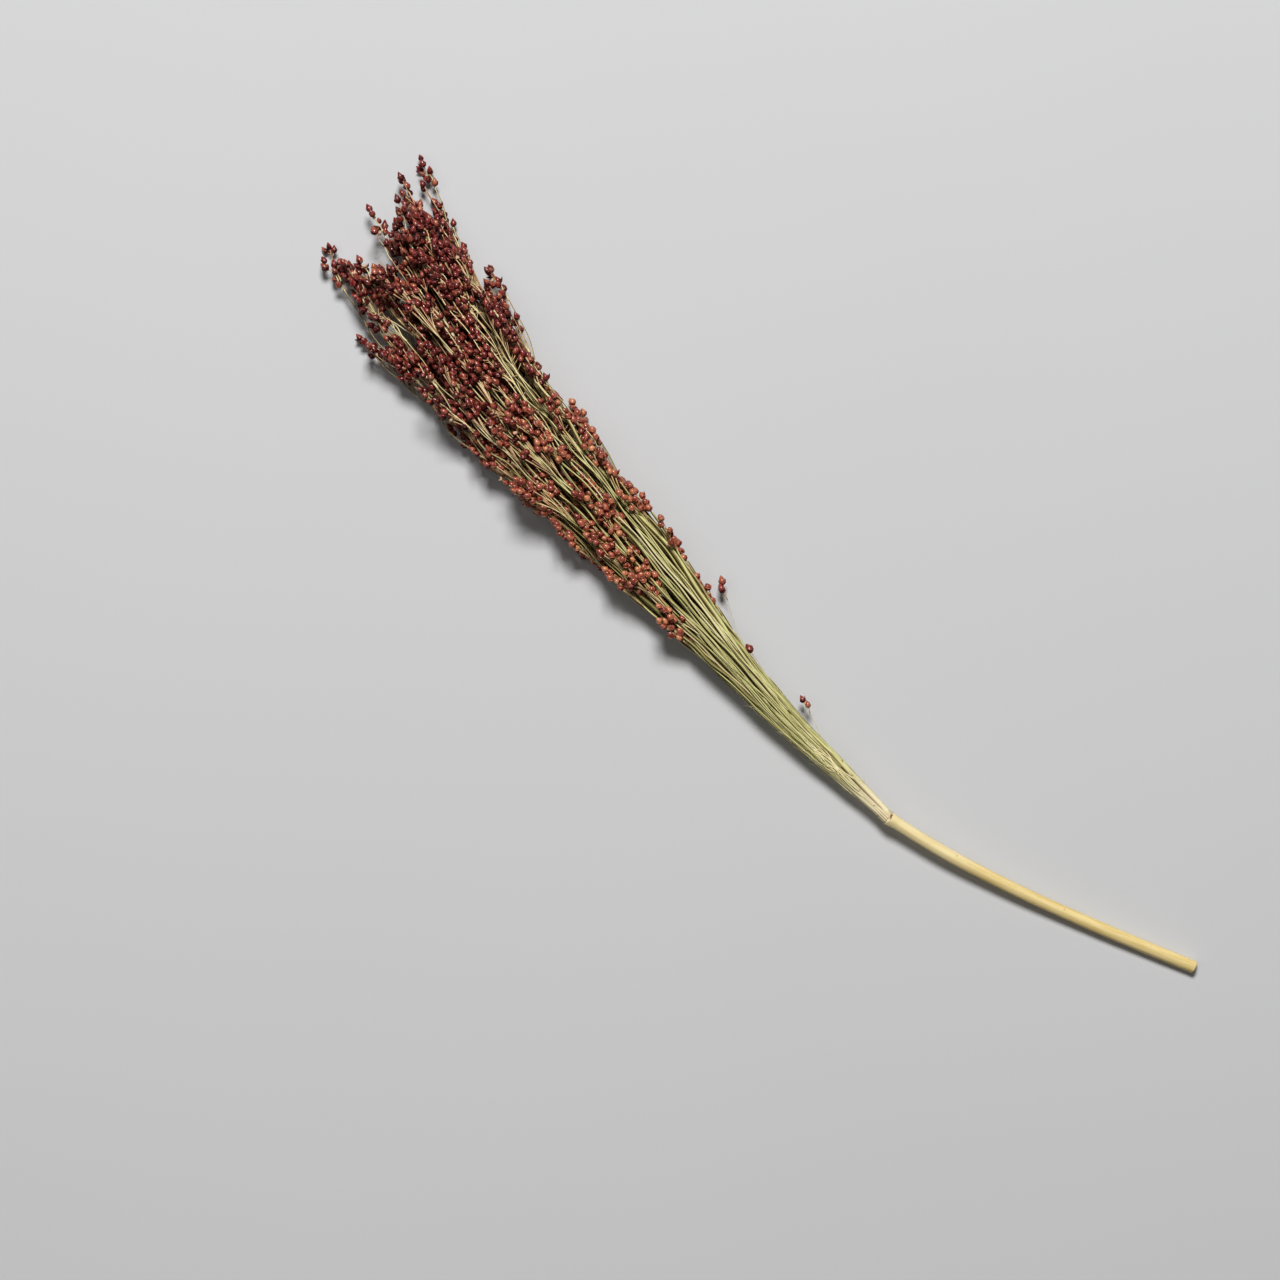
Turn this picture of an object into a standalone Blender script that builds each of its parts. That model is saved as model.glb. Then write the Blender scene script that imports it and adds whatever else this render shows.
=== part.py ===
"""A cut head of sorghum with its stalk, lying on its side.

The stalk runs from its cut end, at low X, up to the node. From the node the straws of the head fan out
towards +X, and each one carries its grains in short strings at its side and at its tip. +Y is the outer
side of the whole head's gentle bow, +Z is up, and the surface that it lies on is Z = 0. The origin is
the bottom centre of the box round the head and its stalk.

Lengths below are millimetres, laid out from the cut end, and are brought to metres and to the origin
where each mesh is made.
"""

import math
import random

import bmesh
import bpy
import numpy as np

MM = 0.001

# Middle of the box round the whole, as it is laid out from the cut end
BOX_MIDDLE = (290.942, 45.649, 0.0)

# The stalk's middle line: X, Y, Z
STALK_LINE = (
    (0.0, 0.0, 3.2),
    (48.0, 21.3, 4.4),
    (101.5, 42.8, 6.7),
    (135.0, 54.1, 8.4),
    (165.7, 62.2, 9.6),
)
STALK_RADIUS = 3.25
STALK_SIDES = 16
STALK_STEP = 20.0

# The node, where the stalk ends and the head begins, with a narrow gap between their level faces
NODE_X = 165.7
NODE_RUN = (1.0, 0.2, 0.04)
NODE_RADIUS = 3.75
NODE_SWELL = 6.0
NODE_SWELL_PLACES = (1.0, 0.5, 0.15, 0.0)
NODE_GAP = 0.3

# The bundle of straws: X, then its middle's Y and Z, its half width and its half height
BUNDLE = (
    (165.7, 62.2, 9.6, 2.4, 2.4),
    (200.0, 63.9, 11.0, 4.0, 3.8),
    (225.0, 65.4, 12.0, 5.4, 4.8),
    (250.0, 65.8, 12.8, 6.8, 5.8),
    (275.0, 65.7, 13.4, 8.6, 6.8),
    (300.0, 65.0, 14.0, 11.0, 8.0),
    (350.0, 62.8, 15.4, 17.0, 10.4),
    (400.0, 62.0, 16.8, 20.5, 12.2),
    (450.0, 61.0, 17.6, 24.5, 13.0),
    (500.0, 56.5, 17.2, 28.5, 12.4),
    (540.0, 51.0, 15.6, 31.0, 10.8),
    (585.0, 41.0, 12.6, 33.0, 8.6),
)

# How far the grains reach to each side: X, then the lowest and the highest Y
GRAIN_REACH = (
    (235.0, 50.0, 76.0),
    (285.0, 53.0, 77.0),
    (325.0, 46.0, 81.0),
    (350.0, 40.0, 84.0),
    (375.0, 37.5, 86.0),
    (400.0, 38.5, 88.0),
    (425.0, 31.0, 90.0),
    (450.0, 34.0, 91.0),
    (475.0, 29.0, 91.5),
    (500.0, 18.0, 90.0),
    (515.0, 14.0, 91.0),
    (539.0, 15.0, 93.0),
    (560.0, 9.0, 80.0),
    (585.0, 0.0, 78.0),
)
GRAIN_REACH_X = 583.0
GRAIN_REACH_UP = 6.0

# The head's core, where the straws still lie against each other: X, then its share of the half width
CORE = ((165.7, 1.35), (178.0, 1.1), (192.0, 0.9), (206.0, 0.7), (220.0, 0.45), (234.0, 0.15))
CORE_SIDES = 8

# Straws whose tips give the head its outline: X, Y, Z of each tip
OUTLINE_TIPS = (
    (583.2, 2.2, 5.0),
    (581.0, 17.5, 9.0),
    (582.0, 40.0, 12.0),
    (579.0, 75.5, 7.5),
    (549.0, 78.0, 11.0),
    (537.5, 90.0, 5.0),
    (437.5, 32.5, 4.0),
    (516.0, 15.8, 8.0),
    (521.0, 86.0, 15.0),
    (471.0, 88.0, 9.0),
    (423.0, 85.0, 15.0),
    (376.0, 80.0, 12.0),
    (354.0, 43.0, 8.0),
    (385.0, 41.0, 22.0),
    (470.0, 33.0, 22.0),
)

# Straws inside the outline, whose tips lie between these X
MIDDLE_STRAWS = 17
MIDDLE_TIP_X = (345.0, 572.0)
MIDDLE_STRIDE = 7
MIDDLE_POWER = 0.7
STRAW_ROOT_X = (170.0, 186.0)
STRAW_POINTS = 7
STRAW_SIDES = 3
STRAW_RADIUS = 1.05
STRAW_TIP_RADIUS = 0.55
STRAW_TAPER_POWER = 1.5
STRAW_LEAN = 110.0

# Two straws come down to the surface and are flat beneath there: X where the flat starts and ends, its
# Y, and the tip
REST_STRAWS = (
    (384.0, 424.0, 44.0, (562.0, 13.0, 5.0)),
    (430.0, 470.0, 76.0, (556.0, 66.0, 6.0)),
)
REST_RADIUS = 1.25

# How they leave the bundle: X, the share of their way aside, and the drop below the bundle's middle
REST_FALL = ((172.0, 0.03, 1.0), (250.0, 0.28, 3.8), (320.0, 0.62, 10.4))
REST_DRIFT = 1.0
REST_END_HEIGHT = 3.2
REST_END_ASIDE = (1.5, 3.0)

# Strings of grains
GRAINS = 5
GRAIN_RADIUS = 2.35
GRAIN_SHARES = (0.9, 1.05)
GRAIN_PITCH = 3.9
GRAIN_OFFSET = 1.6
GRAIN_SIDES = 4
GRAIN_TURN = math.radians(137.5)
STEM_RADIUS = 0.5
NECK_RADIUS = 0.65
STRING_LENGTH = (24.0, 30.0)
STRING_TILT = (12.0, 34.0)
STRING_ROOT = 2.0
TIP_STRING = 20.0
FIRST_STRING_X = 286.0
STRING_STRETCH = 150.0
STRING_SPACING = 72.0
STRING_PLACE = (0.2, 0.8)
STRING_GRAIN_REACH = (0.4, 1.0)
STRING_TRIES = 40
ABOVE_SURFACE = 0.15

# Grains that stand alone beside the bare straws: X of the stem's root, the last grain's place, and how
# many there are
LONE_GRAINS = (
    (214.0, (243.0, 51.8, 9.0), 2),
    (256.0, (281.0, 54.0, 10.0), 1),
    (286.0, (316.0, 39.5, 8.0), 2),
)

SHORTEST_EDGE = 0.3
LEAST_AREA = 1e-12
SAME_WAY = 0.5
SMOOTH_ANGLE = math.radians(35.0)
SEED = 27


def smooth(rows, x):
    """Read the columns after the first at x, on a cubic curve through the rows."""
    rows = np.array(rows, dtype=float)
    places = rows[:, 0]
    values = rows[:, 1:]
    slopes = np.gradient(values, places, axis=0)
    x = np.clip(np.atleast_1d(x).astype(float), places[0], places[-1])
    i = np.clip(np.searchsorted(places, x, side="right") - 1, 0, len(places) - 2)
    step = (places[i + 1] - places[i])[:, None]
    t = (x[:, None] - places[i][:, None]) / step
    start = (2 * t**3 - 3 * t**2 + 1) * values[i] + (t**3 - 2 * t**2 + t) * step * slopes[i]
    end = (3 * t**2 - 2 * t**3) * values[i + 1] + (t**3 - t**2) * step * slopes[i + 1]
    return start + end


def ease(t):
    """Go from 0 to 1 with level ends."""
    t = np.clip(t, 0.0, 1.0)
    return t * t * (3.0 - 2.0 * t)


def unit(vector):
    return vector / np.linalg.norm(vector, axis=-1, keepdims=True)


def runs(path):
    """Unit direction of the path at each of its points."""
    return unit(np.gradient(path, axis=0))


def point_on(path, x):
    """The point of a path at x, and the path's direction there."""
    point = np.array([np.interp(x, path[:, 0], path[:, i]) for i in range(3)])
    directions = runs(path)
    run = unit(np.array([np.interp(x, path[:, 0], directions[:, i]) for i in range(3)]))
    return point, run


def straw_route(tip, root_x):
    """A straw's points, up to where the string of grains at its tip takes over.

    It keeps its own place in the bundle, and leans to its tip over its last stretch.
    """
    x = root_x + (tip[0] - TIP_STRING - root_x) * np.linspace(0.0, 1.0, STRAW_POINTS)
    form = smooth(BUNDLE, x)
    end = smooth(BUNDLE, tip[0])[0]
    lane = np.array(((tip[1] - end[0]) / end[2], (tip[2] - end[1]) / end[3]))
    lane /= max(np.linalg.norm(lane), 1.0)
    strays = np.array(tip[1:]) - end[:2] - lane * end[2:]
    lean = ease((x - tip[0] + STRAW_LEAN) / STRAW_LEAN)[:, None]
    return np.column_stack([x, form[:, :2] + lane * form[:, 2:] + lean * strays])


def rest_route(first, last, y, tip):
    """A straw that comes down to the surface, runs level along it and leans to its tip."""
    low = REST_RADIUS * math.cos(math.pi / 4)
    half_way, at_tip = REST_END_ASIDE
    aside = y - smooth(BUNDLE, REST_FALL[0][0])[0, 0]
    route = []
    for x, share, drop in REST_FALL:
        middle_y, middle_z = smooth(BUNDLE, x)[0, :2]
        route.append((x, middle_y + share * aside, middle_z - drop))
    route.append((first, y, low))
    route.append((last, y - REST_DRIFT, low))
    route.append((0.5 * (last + tip[0]), 0.5 * (y + tip[1]) + half_way, REST_END_HEIGHT))
    route.append((tip[0] - TIP_STRING, tip[1] + at_tip, tip[2]))
    return np.array(route)


def middle_tips(rng):
    """Tips of the straws inside the head, spread over its section in a sunflower's order."""
    first, last = MIDDLE_TIP_X
    tips = []
    for i in range(MIDDLE_STRAWS):
        reach = ((i * MIDDLE_STRIDE) % MIDDLE_STRAWS + rng.random()) / MIDDLE_STRAWS
        x = first + (last - first) * reach**MIDDLE_POWER
        middle_y, middle_z, half_width, half_height = smooth(BUNDLE, x)[0]
        wide = math.sqrt((i + 0.5) / MIDDLE_STRAWS)
        turn = i * GRAIN_TURN
        y = middle_y + wide * math.cos(turn) * half_width
        z = middle_z + wide * math.sin(turn) * half_height
        tips.append((x, y, z))
    return tips


def hold_inside(point):
    """Bring a string's last grain inside the head's outline and above the surface."""
    low, high = smooth(GRAIN_REACH, point[0])[0]
    middle_y, middle_z, half_width, half_height = smooth(BUNDLE, point[0])[0]
    room = GRAIN_RADIUS + ABOVE_SURFACE
    y = min(max(point[1], low + room), high - room)
    z = min(max(point[2], room), middle_z + half_height + GRAIN_REACH_UP)
    return np.array((min(point[0], GRAIN_REACH_X), y, z))


def grain_places(root, tip):
    """Rough places of a string's grains, to keep later strings clear of them."""
    return root + (tip - root) * np.linspace(*STRING_GRAIN_REACH, GRAINS)[:, None]


def side_tip(root, run, taken, rng):
    """Where a side string ends: ahead of its root and out by a narrow angle, to where there is most room."""
    length = rng.uniform(*STRING_LENGTH)
    tips = []
    rooms = []
    for _ in range(STRING_TRIES):
        angle = rng.uniform(0.0, 2.0 * math.pi)
        tilt = math.radians(rng.uniform(*STRING_TILT))
        spread = np.array((0.0, math.cos(angle), math.sin(angle)))
        tip = hold_inside(root + length * (math.cos(tilt) * run + math.sin(tilt) * spread))
        away = np.linalg.norm(grain_places(root, tip)[:, None] - taken[None], axis=2)
        tips.append(tip)
        rooms.append(away.min())
    return tips[int(np.argmax(rooms))]


def plan_straws(rng):
    """Every straw's route and tip."""
    straws = []
    for tip in list(OUTLINE_TIPS) + middle_tips(rng):
        straws.append((straw_route(tip, rng.uniform(*STRAW_ROOT_X)), np.array(tip)))
    for first, last, y, tip in REST_STRAWS:
        straws.append((rest_route(first, last, y, tip), np.array(tip)))
    return straws


def plan_strings(straws, rng):
    """Every string's root, last grain and number of grains: those at the straws' tips come first."""
    strings = []
    taken = []
    for route, tip in straws:
        x = np.arange(route[0, 0], route[-1, 0], GRAIN_PITCH)
        taken.append(np.column_stack([x] + [np.interp(x, route[:, 0], route[:, i]) for i in (1, 2)]))
        root = route[-1] - STRING_ROOT * unit(tip - route[-1])
        strings.append((root, tip, GRAINS))
        taken.append(grain_places(root, tip))
    taken = np.concatenate(taken)
    for route, tip in straws:
        first = max(FIRST_STRING_X, tip[0] - STRING_STRETCH)
        last = tip[0] - TIP_STRING - 0.25 * STRING_LENGTH[0]
        amount = int((last - first) / STRING_SPACING + rng.random())
        for k in range(amount):
            root_x = first + (last - first) * (k + rng.uniform(*STRING_PLACE)) / amount
            root, run = point_on(route, root_x)
            end = side_tip(root, run, taken, rng)
            strings.append((root, end, GRAINS))
            taken = np.concatenate([taken, grain_places(root, end)])
    for root_x, end, grains in LONE_GRAINS:
        roots = [point_on(route, root_x)[0] for route, tip in straws if tip[0] > root_x + STRING_STRETCH / 3]
        root = min(roots, key=lambda place: place[1])
        strings.append((root, np.array(end), grains))
    return strings


def hoops_along(path, directions, radii, sides, turn):
    """A ring of points round each point of the path, square to its direction."""
    side = unit(np.cross((0.0, 0.0, 1.0), directions))
    above = np.cross(directions, side)
    angles = turn + np.arange(sides) * 2.0 * math.pi / sides
    across = np.cos(angles)[None, :, None] * side[:, None]
    upward = np.sin(angles)[None, :, None] * above[:, None]
    return path[:, None] + np.asarray(radii)[:, None, None] * (across + upward)


def skin(name, hoops, material, collection, apex=None):
    """A closed tube over the hoops, with flat ends or with a point at its far end."""
    count, sides = hoops.shape[:2]
    points = hoops.reshape(-1, 3)
    faces = []
    for i in range(count - 1):
        for j in range(sides):
            k = (j + 1) % sides
            faces.append((i * sides + j, i * sides + k, (i + 1) * sides + k, (i + 1) * sides + j))
    faces.append(tuple(reversed(range(sides))))
    last = (count - 1) * sides
    if apex is None:
        faces.append(tuple(range(last, last + sides)))
    else:
        points = np.vstack([points, apex])
        for j in range(sides):
            faces.append((last + j, last + (j + 1) % sides, len(points) - 1))
    mesh = bpy.data.meshes.new(name)
    mesh.from_pydata([tuple(point) for point in (points - BOX_MIDDLE) * MM], [], faces)
    mesh.materials.append(material)
    obj = bpy.data.objects.new(name, mesh)
    collection.objects.link(obj)
    return obj


def string_hoops(root, tip, grains, rng):
    """A thin stem that swells at each grain, with its grains to every side in turn."""
    run = unit(tip - root)
    side = unit(np.cross(run, (0.0, 0.0, 1.0)))
    above = np.cross(side, run)
    length = np.linalg.norm(tip - root)
    twist = rng.uniform(0.0, math.pi)
    places = [root]
    radii = [STEM_RADIUS]
    for i in range(grains):
        along = length - (grains - 0.5 - i) * GRAIN_PITCH
        angle = twist + i * GRAIN_TURN
        offset = GRAIN_OFFSET * (math.cos(angle) * side + math.sin(angle) * above)
        if i == grains - 1:
            offset *= 0.0
        neck = root + run * max(along - 0.5 * GRAIN_PITCH, 1.0 + 0.3 * i)
        belly = root + run * along + offset
        belly[2] = max(belly[2], GRAIN_RADIUS + ABOVE_SURFACE)
        places += [neck, belly]
        radii += [NECK_RADIUS, GRAIN_RADIUS * rng.uniform(*GRAIN_SHARES)]
    directions = np.array([run] * len(places))
    hoops = hoops_along(np.array(places), directions, radii, GRAIN_SIDES, twist)
    hoops[:, :, 2] = np.maximum(hoops[:, :, 2], ABOVE_SURFACE)
    return hoops, root + run * length


def make_material(name, colour, roughness):
    material = bpy.data.materials.new(name)
    material.use_nodes = True
    shader = material.node_tree.nodes["Principled BSDF"]
    shader.inputs["Base Color"].default_value = (*colour, 1.0)
    shader.inputs["Roughness"].default_value = roughness
    shader.inputs["Metallic"].default_value = 0.0
    return material


def shade(obj):
    obj.data.shade_smooth()
    obj.data.set_sharp_from_angle(angle=SMOOTH_ANGLE)


def make_stalk(material):
    """The bare stalk, cut square at its low end and swollen a little at the node."""
    end = NODE_X - NODE_GAP / 2
    shaft = np.arange(0.0, end - STALK_STEP, STALK_STEP)
    x = np.concatenate([shaft, end - NODE_SWELL * np.array(NODE_SWELL_PLACES)])
    swell = ease((x - end + NODE_SWELL) / NODE_SWELL)
    path = np.column_stack([x, smooth(STALK_LINE, x)])
    directions = runs(path)
    directions[-1] = unit(np.array(NODE_RUN))
    radii = STALK_RADIUS + (NODE_RADIUS - STALK_RADIUS) * swell
    hoops = hoops_along(path, directions, radii, STALK_SIDES, math.pi / STALK_SIDES)
    stalk = skin("stalk", hoops, material, bpy.context.scene.collection)
    shade(stalk)


def make_core(material):
    """The close foot of the bundle, out of which the straws come."""
    x, share = np.array(CORE).T
    x[0] = NODE_X + NODE_GAP / 2
    form = smooth(BUNDLE, x)
    path = np.column_stack([x, form[:, :2]])
    directions = runs(path)
    directions[0] = unit(np.array(NODE_RUN))
    hoops = hoops_along(path, directions, form[:, 2] * share, CORE_SIDES, math.pi / CORE_SIDES)
    return skin("head", hoops, material, bpy.context.scene.collection)


def make_straw(i, route, material, collection):
    """A three-sided straw that tapers to its tip."""
    taper = np.linspace(0.0, 1.0, len(route)) ** STRAW_TAPER_POWER
    radii = STRAW_RADIUS + (STRAW_TIP_RADIUS - STRAW_RADIUS) * taper
    hoops = hoops_along(route, runs(route), radii, STRAW_SIDES, math.pi / 2)
    skin(f"straw_{i}", hoops, material, collection)


def make_rest_straw(i, route, material, collection):
    """A four-sided straw whose lower side is level where it touches the surface."""
    radii = np.full(len(route), REST_RADIUS)
    radii[-1] = STRAW_TIP_RADIUS
    level = runs(route)
    level[:, 2] = 0.0
    hoops = hoops_along(route, unit(level), radii, 4, math.pi / 4)
    skin(f"straw_{i}", hoops, material, collection)


def join(core, collection):
    """Fuse the collection's objects to the core, and take them out."""
    union = core.modifiers.new("union", "BOOLEAN")
    union.operation = "UNION"
    union.solver = "EXACT"
    union.operand_type = "COLLECTION"
    union.collection = collection
    union.material_mode = "TRANSFER"
    bpy.context.view_layer.update()
    joined = bpy.data.meshes.new_from_object(core.evaluated_get(bpy.context.evaluated_depsgraph_get()))
    core.modifiers.clear()
    core.data = joined
    for obj in list(collection.objects):
        bpy.data.objects.remove(obj)
    bpy.data.collections.remove(collection)


def keep_largest_body(bm):
    """Drop loose scraps and the skins of sealed hollows."""
    unseen = set(bm.verts)
    bodies = []
    while unseen:
        body = [unseen.pop()]
        for vert in body:
            for edge in vert.link_edges:
                other = edge.other_vert(vert)
                if other in unseen:
                    unseen.remove(other)
                    body.append(other)
        bodies.append(body)
    bodies.sort(key=len, reverse=True)
    for body in bodies[1:]:
        bmesh.ops.delete(bm, geom=body, context="VERTS")


def drop_flaps(bm):
    """Take out pairs of faces that lie back to back on the same corners."""
    by_corners = {}
    for face in bm.faces:
        by_corners.setdefault(frozenset(face.verts), []).append(face)
    flaps = [face for faces in by_corners.values() if len(faces) > 1 for face in faces]
    bmesh.ops.delete(bm, geom=flaps, context="FACES")


def turns_over(vert, other, place):
    """Whether moving vert to place turns a face over, apart from those that other shares."""
    for face in vert.link_faces:
        if other in face.verts:
            continue
        corners = [place if corner is vert else corner.co for corner in face.verts]
        across = (corners[1] - corners[0]).cross(corners[2] - corners[0])
        if across.length < LEAST_AREA or across.normalized().dot(face.normal) < SAME_WAY:
            return True
    return False


def collapse_short_edges(bm):
    """Take out the slivers that the union leaves, wherever the surface stays closed and unfolded."""
    shortest = SHORTEST_EDGE * MM
    short = [edge for edge in bm.edges if edge.calc_length() < shortest]
    short.sort(key=lambda edge: edge.calc_length())
    for edge in short:
        if not edge.is_valid or edge.calc_length() >= shortest:
            continue
        one, two = edge.verts
        beside_one = {near.other_vert(one) for near in one.link_edges}
        beside_two = {near.other_vert(two) for near in two.link_edges}
        if len(beside_one & beside_two) != 2:
            continue
        place = (one.co + two.co) / 2
        if turns_over(one, two, place) or turns_over(two, one, place):
            continue
        bmesh.ops.pointmerge(bm, verts=[one, two], merge_co=place)
        bm.normal_update()


def clean(mesh):
    bm = bmesh.new()
    bm.from_mesh(mesh)
    keep_largest_body(bm)
    bmesh.ops.triangulate(bm, faces=bm.faces, ngon_method="EAR_CLIP")
    drop_flaps(bm)
    collapse_short_edges(bm)
    bm.to_mesh(mesh)
    bm.free()


def make_head(straw_material, grain_material):
    """The head: straws from the node, with strings of grains, fused in one body."""
    rng = random.Random(SEED)
    repeats = bpy.data.collections.new("head_repeats")
    bpy.context.scene.collection.children.link(repeats)
    head = make_core(straw_material)
    straws = plan_straws(rng)
    for i, (route, tip) in enumerate(straws):
        if i < len(straws) - len(REST_STRAWS):
            make_straw(i, route, straw_material, repeats)
        else:
            make_rest_straw(i, route, straw_material, repeats)
    for i, (root, tip, grains) in enumerate(plan_strings(straws, rng)):
        hoops, apex = string_hoops(root, tip, grains, rng)
        skin(f"string_{i}", hoops, grain_material, repeats, apex)
    join(head, repeats)
    clean(head.data)
    shade(head)


def main():
    for obj in list(bpy.data.objects):
        bpy.data.objects.remove(obj, do_unlink=True)
    make_stalk(make_material("dry_stalk", (0.74, 0.62, 0.31), 0.5))
    straw_material = make_material("green_straw", (0.38, 0.34, 0.13), 0.6)
    grain_material = make_material("red_grain", (0.16, 0.03, 0.015), 0.4)
    make_head(straw_material, grain_material)


main()
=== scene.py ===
"""Looks of a cut head of sorghum on its stalk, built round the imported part.

The straws and the strings of grains are planned by the same rules, and from the same seed, as the solids
that they replace, so that they lie where those lie. More straws, strings and grains follow by the same
rules, to the fullness of the real head. Lengths in the plan are millimetres, laid out from the cut end of
the stalk, and are brought to metres and to the frame's origin where each mesh is made. Colours are linear.
"""

import functools
import math
import random

import bpy
import numpy as np
from bpy.props import FloatProperty, FloatVectorProperty, IntProperty, PointerProperty
from bpy.types import Operator, Panel, PropertyGroup
from mathutils import Matrix, Vector


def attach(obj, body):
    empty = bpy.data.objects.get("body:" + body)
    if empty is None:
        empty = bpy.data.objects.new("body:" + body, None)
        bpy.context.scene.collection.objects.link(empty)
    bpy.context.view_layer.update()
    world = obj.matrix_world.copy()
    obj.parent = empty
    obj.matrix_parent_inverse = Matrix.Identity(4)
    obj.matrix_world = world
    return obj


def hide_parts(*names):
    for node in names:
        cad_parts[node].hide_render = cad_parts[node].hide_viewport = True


bl_info = {
    "name": "Sorghum Seed Head",
    "version": (1, 0, 0),
    "blender": (4, 5, 0),
    "location": "3D View > Sidebar > Sorghum",
    "description": "Stalk, straws, grains and husks of a dried sorghum head, over its packed part",
    "category": "Add Mesh",
}

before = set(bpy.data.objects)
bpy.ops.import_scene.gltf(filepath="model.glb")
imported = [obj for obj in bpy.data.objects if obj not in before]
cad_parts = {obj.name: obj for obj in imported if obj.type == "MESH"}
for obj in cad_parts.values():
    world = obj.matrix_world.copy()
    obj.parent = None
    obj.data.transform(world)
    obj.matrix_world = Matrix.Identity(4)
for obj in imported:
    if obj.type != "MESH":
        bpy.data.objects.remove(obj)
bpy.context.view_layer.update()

MM = 0.001
STALK_SLOT = "stalk"
HEAD_SLOT = "seed_head"

# Middle of the box round the whole, as it is laid out from the cut end
BOX_MIDDLE = np.array((290.942, 45.649, 0.0))

# The stalk's middle line: X, Y, Z
STALK_LINE = (
    (0.0, 0.0, 3.2),
    (48.0, 21.3, 4.4),
    (101.5, 42.8, 6.7),
    (135.0, 54.1, 8.4),
    (165.7, 62.2, 9.6),
)
NODE_X = 165.7
NODE_RUN = (1.0, 0.2, 0.04)
NODE_RADIUS = 3.75
NODE_SWELL = 6.0
STALK_SIDES = 40

# Rings across the cut end, from its edge inwards: share of the radius, and depth
CUT_RINGS = ((0.93, -0.05), (0.86, 0.25), (0.6, 0.32), (0.3, 0.15))

# The band round the node: X from the node, and how far the band stands out there
NODE_RING = ((-0.6, -0.5), (-0.5, 0.02), (-0.3, 0.08), (0.05, 0.1), (0.35, 0.06), (0.55, 0.0), (0.65, -0.6))
NODE_RING_SIDES = 48

# The bundle of straws: X, then its middle's Y and Z, its half width and its half height
BUNDLE = (
    (165.7, 62.2, 9.6, 2.4, 2.4),
    (200.0, 63.9, 11.0, 4.0, 3.8),
    (225.0, 65.4, 12.0, 5.4, 4.8),
    (250.0, 65.8, 12.8, 6.8, 5.8),
    (275.0, 65.7, 13.4, 8.6, 6.8),
    (300.0, 65.0, 14.0, 11.0, 8.0),
    (350.0, 62.8, 15.4, 17.0, 10.4),
    (400.0, 62.0, 16.8, 20.5, 12.2),
    (450.0, 61.0, 17.6, 24.5, 13.0),
    (500.0, 56.5, 17.2, 28.5, 12.4),
    (540.0, 51.0, 15.6, 31.0, 10.8),
    (585.0, 41.0, 12.6, 33.0, 8.6),
)

# How far the grains reach to each side: X, then the lowest and the highest Y
GRAIN_REACH = (
    (235.0, 50.0, 76.0),
    (285.0, 53.0, 77.0),
    (325.0, 46.0, 81.0),
    (350.0, 40.0, 84.0),
    (375.0, 37.5, 86.0),
    (400.0, 38.5, 88.0),
    (425.0, 31.0, 90.0),
    (450.0, 34.0, 91.0),
    (475.0, 29.0, 91.5),
    (500.0, 18.0, 90.0),
    (515.0, 14.0, 91.0),
    (539.0, 15.0, 93.0),
    (560.0, 9.0, 80.0),
    (585.0, 0.0, 78.0),
)
GRAIN_REACH_X = 583.0
GRAIN_REACH_UP = 6.0

# The closed foot of the bundle: X, then its share of the bundle's half width
FOOT = ((165.9, 1.42), (175.0, 1.1), (186.0, 0.84), (200.0, 0.58), (216.0, 0.34), (232.0, 0.15))
FOOT_SIDES = 64
FOOT_STATIONS = 56
FOOT_FLUTES = 16
FOOT_FLUTE_DEPTH = 0.08

# Straws whose tips give the head its outline: X, Y, Z of each tip
OUTLINE_TIPS = (
    (583.2, 2.2, 5.0),
    (581.0, 17.5, 9.0),
    (582.0, 40.0, 12.0),
    (579.0, 75.5, 7.5),
    (549.0, 78.0, 11.0),
    (537.5, 90.0, 5.0),
    (437.5, 32.5, 4.0),
    (516.0, 15.8, 8.0),
    (521.0, 86.0, 15.0),
    (471.0, 88.0, 9.0),
    (423.0, 85.0, 15.0),
    (376.0, 80.0, 12.0),
    (354.0, 43.0, 8.0),
    (385.0, 41.0, 22.0),
    (470.0, 33.0, 22.0),
)

# Straws inside the outline, whose tips lie between these X
MIDDLE_STRAWS = 17
MIDDLE_TIP_X = (345.0, 572.0)
MIDDLE_STRIDE = 7
MIDDLE_POWER = 0.7
STRAW_ROOT_X = (170.0, 186.0)
STRAW_POINTS = 7
STRAW_LEAN = 110.0

# Two straws come down to the surface: X where they meet it and leave it, their Y, and the tip
REST_STRAWS = (
    (384.0, 424.0, 44.0, (562.0, 13.0, 5.0)),
    (430.0, 470.0, 76.0, (556.0, 66.0, 6.0)),
)
REST_RADIUS = 1.25

# Strings of grains, as in the solids
GRAINS = 5
GRAIN_RADIUS = 2.35
GRAIN_PITCH = 3.9
GRAIN_OFFSET = 1.6
GRAIN_TURN = math.radians(137.5)
STRING_LENGTH = (24.0, 30.0)
STRING_TILT = (12.0, 34.0)
STRING_ROOT = 2.0
TIP_STRING = 20.0
FIRST_STRING_X = 286.0
STRING_STRETCH = 150.0
STRING_SPACING = 72.0
STRING_TRIES = 40
ABOVE_SURFACE = 0.15
LONE_GRAINS = (
    (214.0, (243.0, 51.8, 9.0), 2),
    (256.0, (281.0, 54.0, 10.0), 1),
    (286.0, (316.0, 39.5, 8.0), 2),
)
SEED = 27

# What this script adds by the same rules
MORE_SEED = 11
MORE_TIP_X = (380.0, 574.0)
MORE_STRIDE = 13
MORE_POWER = 0.5
MORE_STRING_LENGTH = (14.0, 27.0)
MORE_STRING_TILT = (8.0, 38.0)
MORE_STRING_TRIES = 14
MORE_STRING_GRAINS = (4, 7)

# Towards the tips the strings are longer, narrower sprigs
SPRIG_X = 465.0
SPRIG_LENGTH = (22.0, 36.0)
SPRIG_TILT = (3.0, 20.0)
SPRIG_GRAINS = (6, 9)

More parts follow.
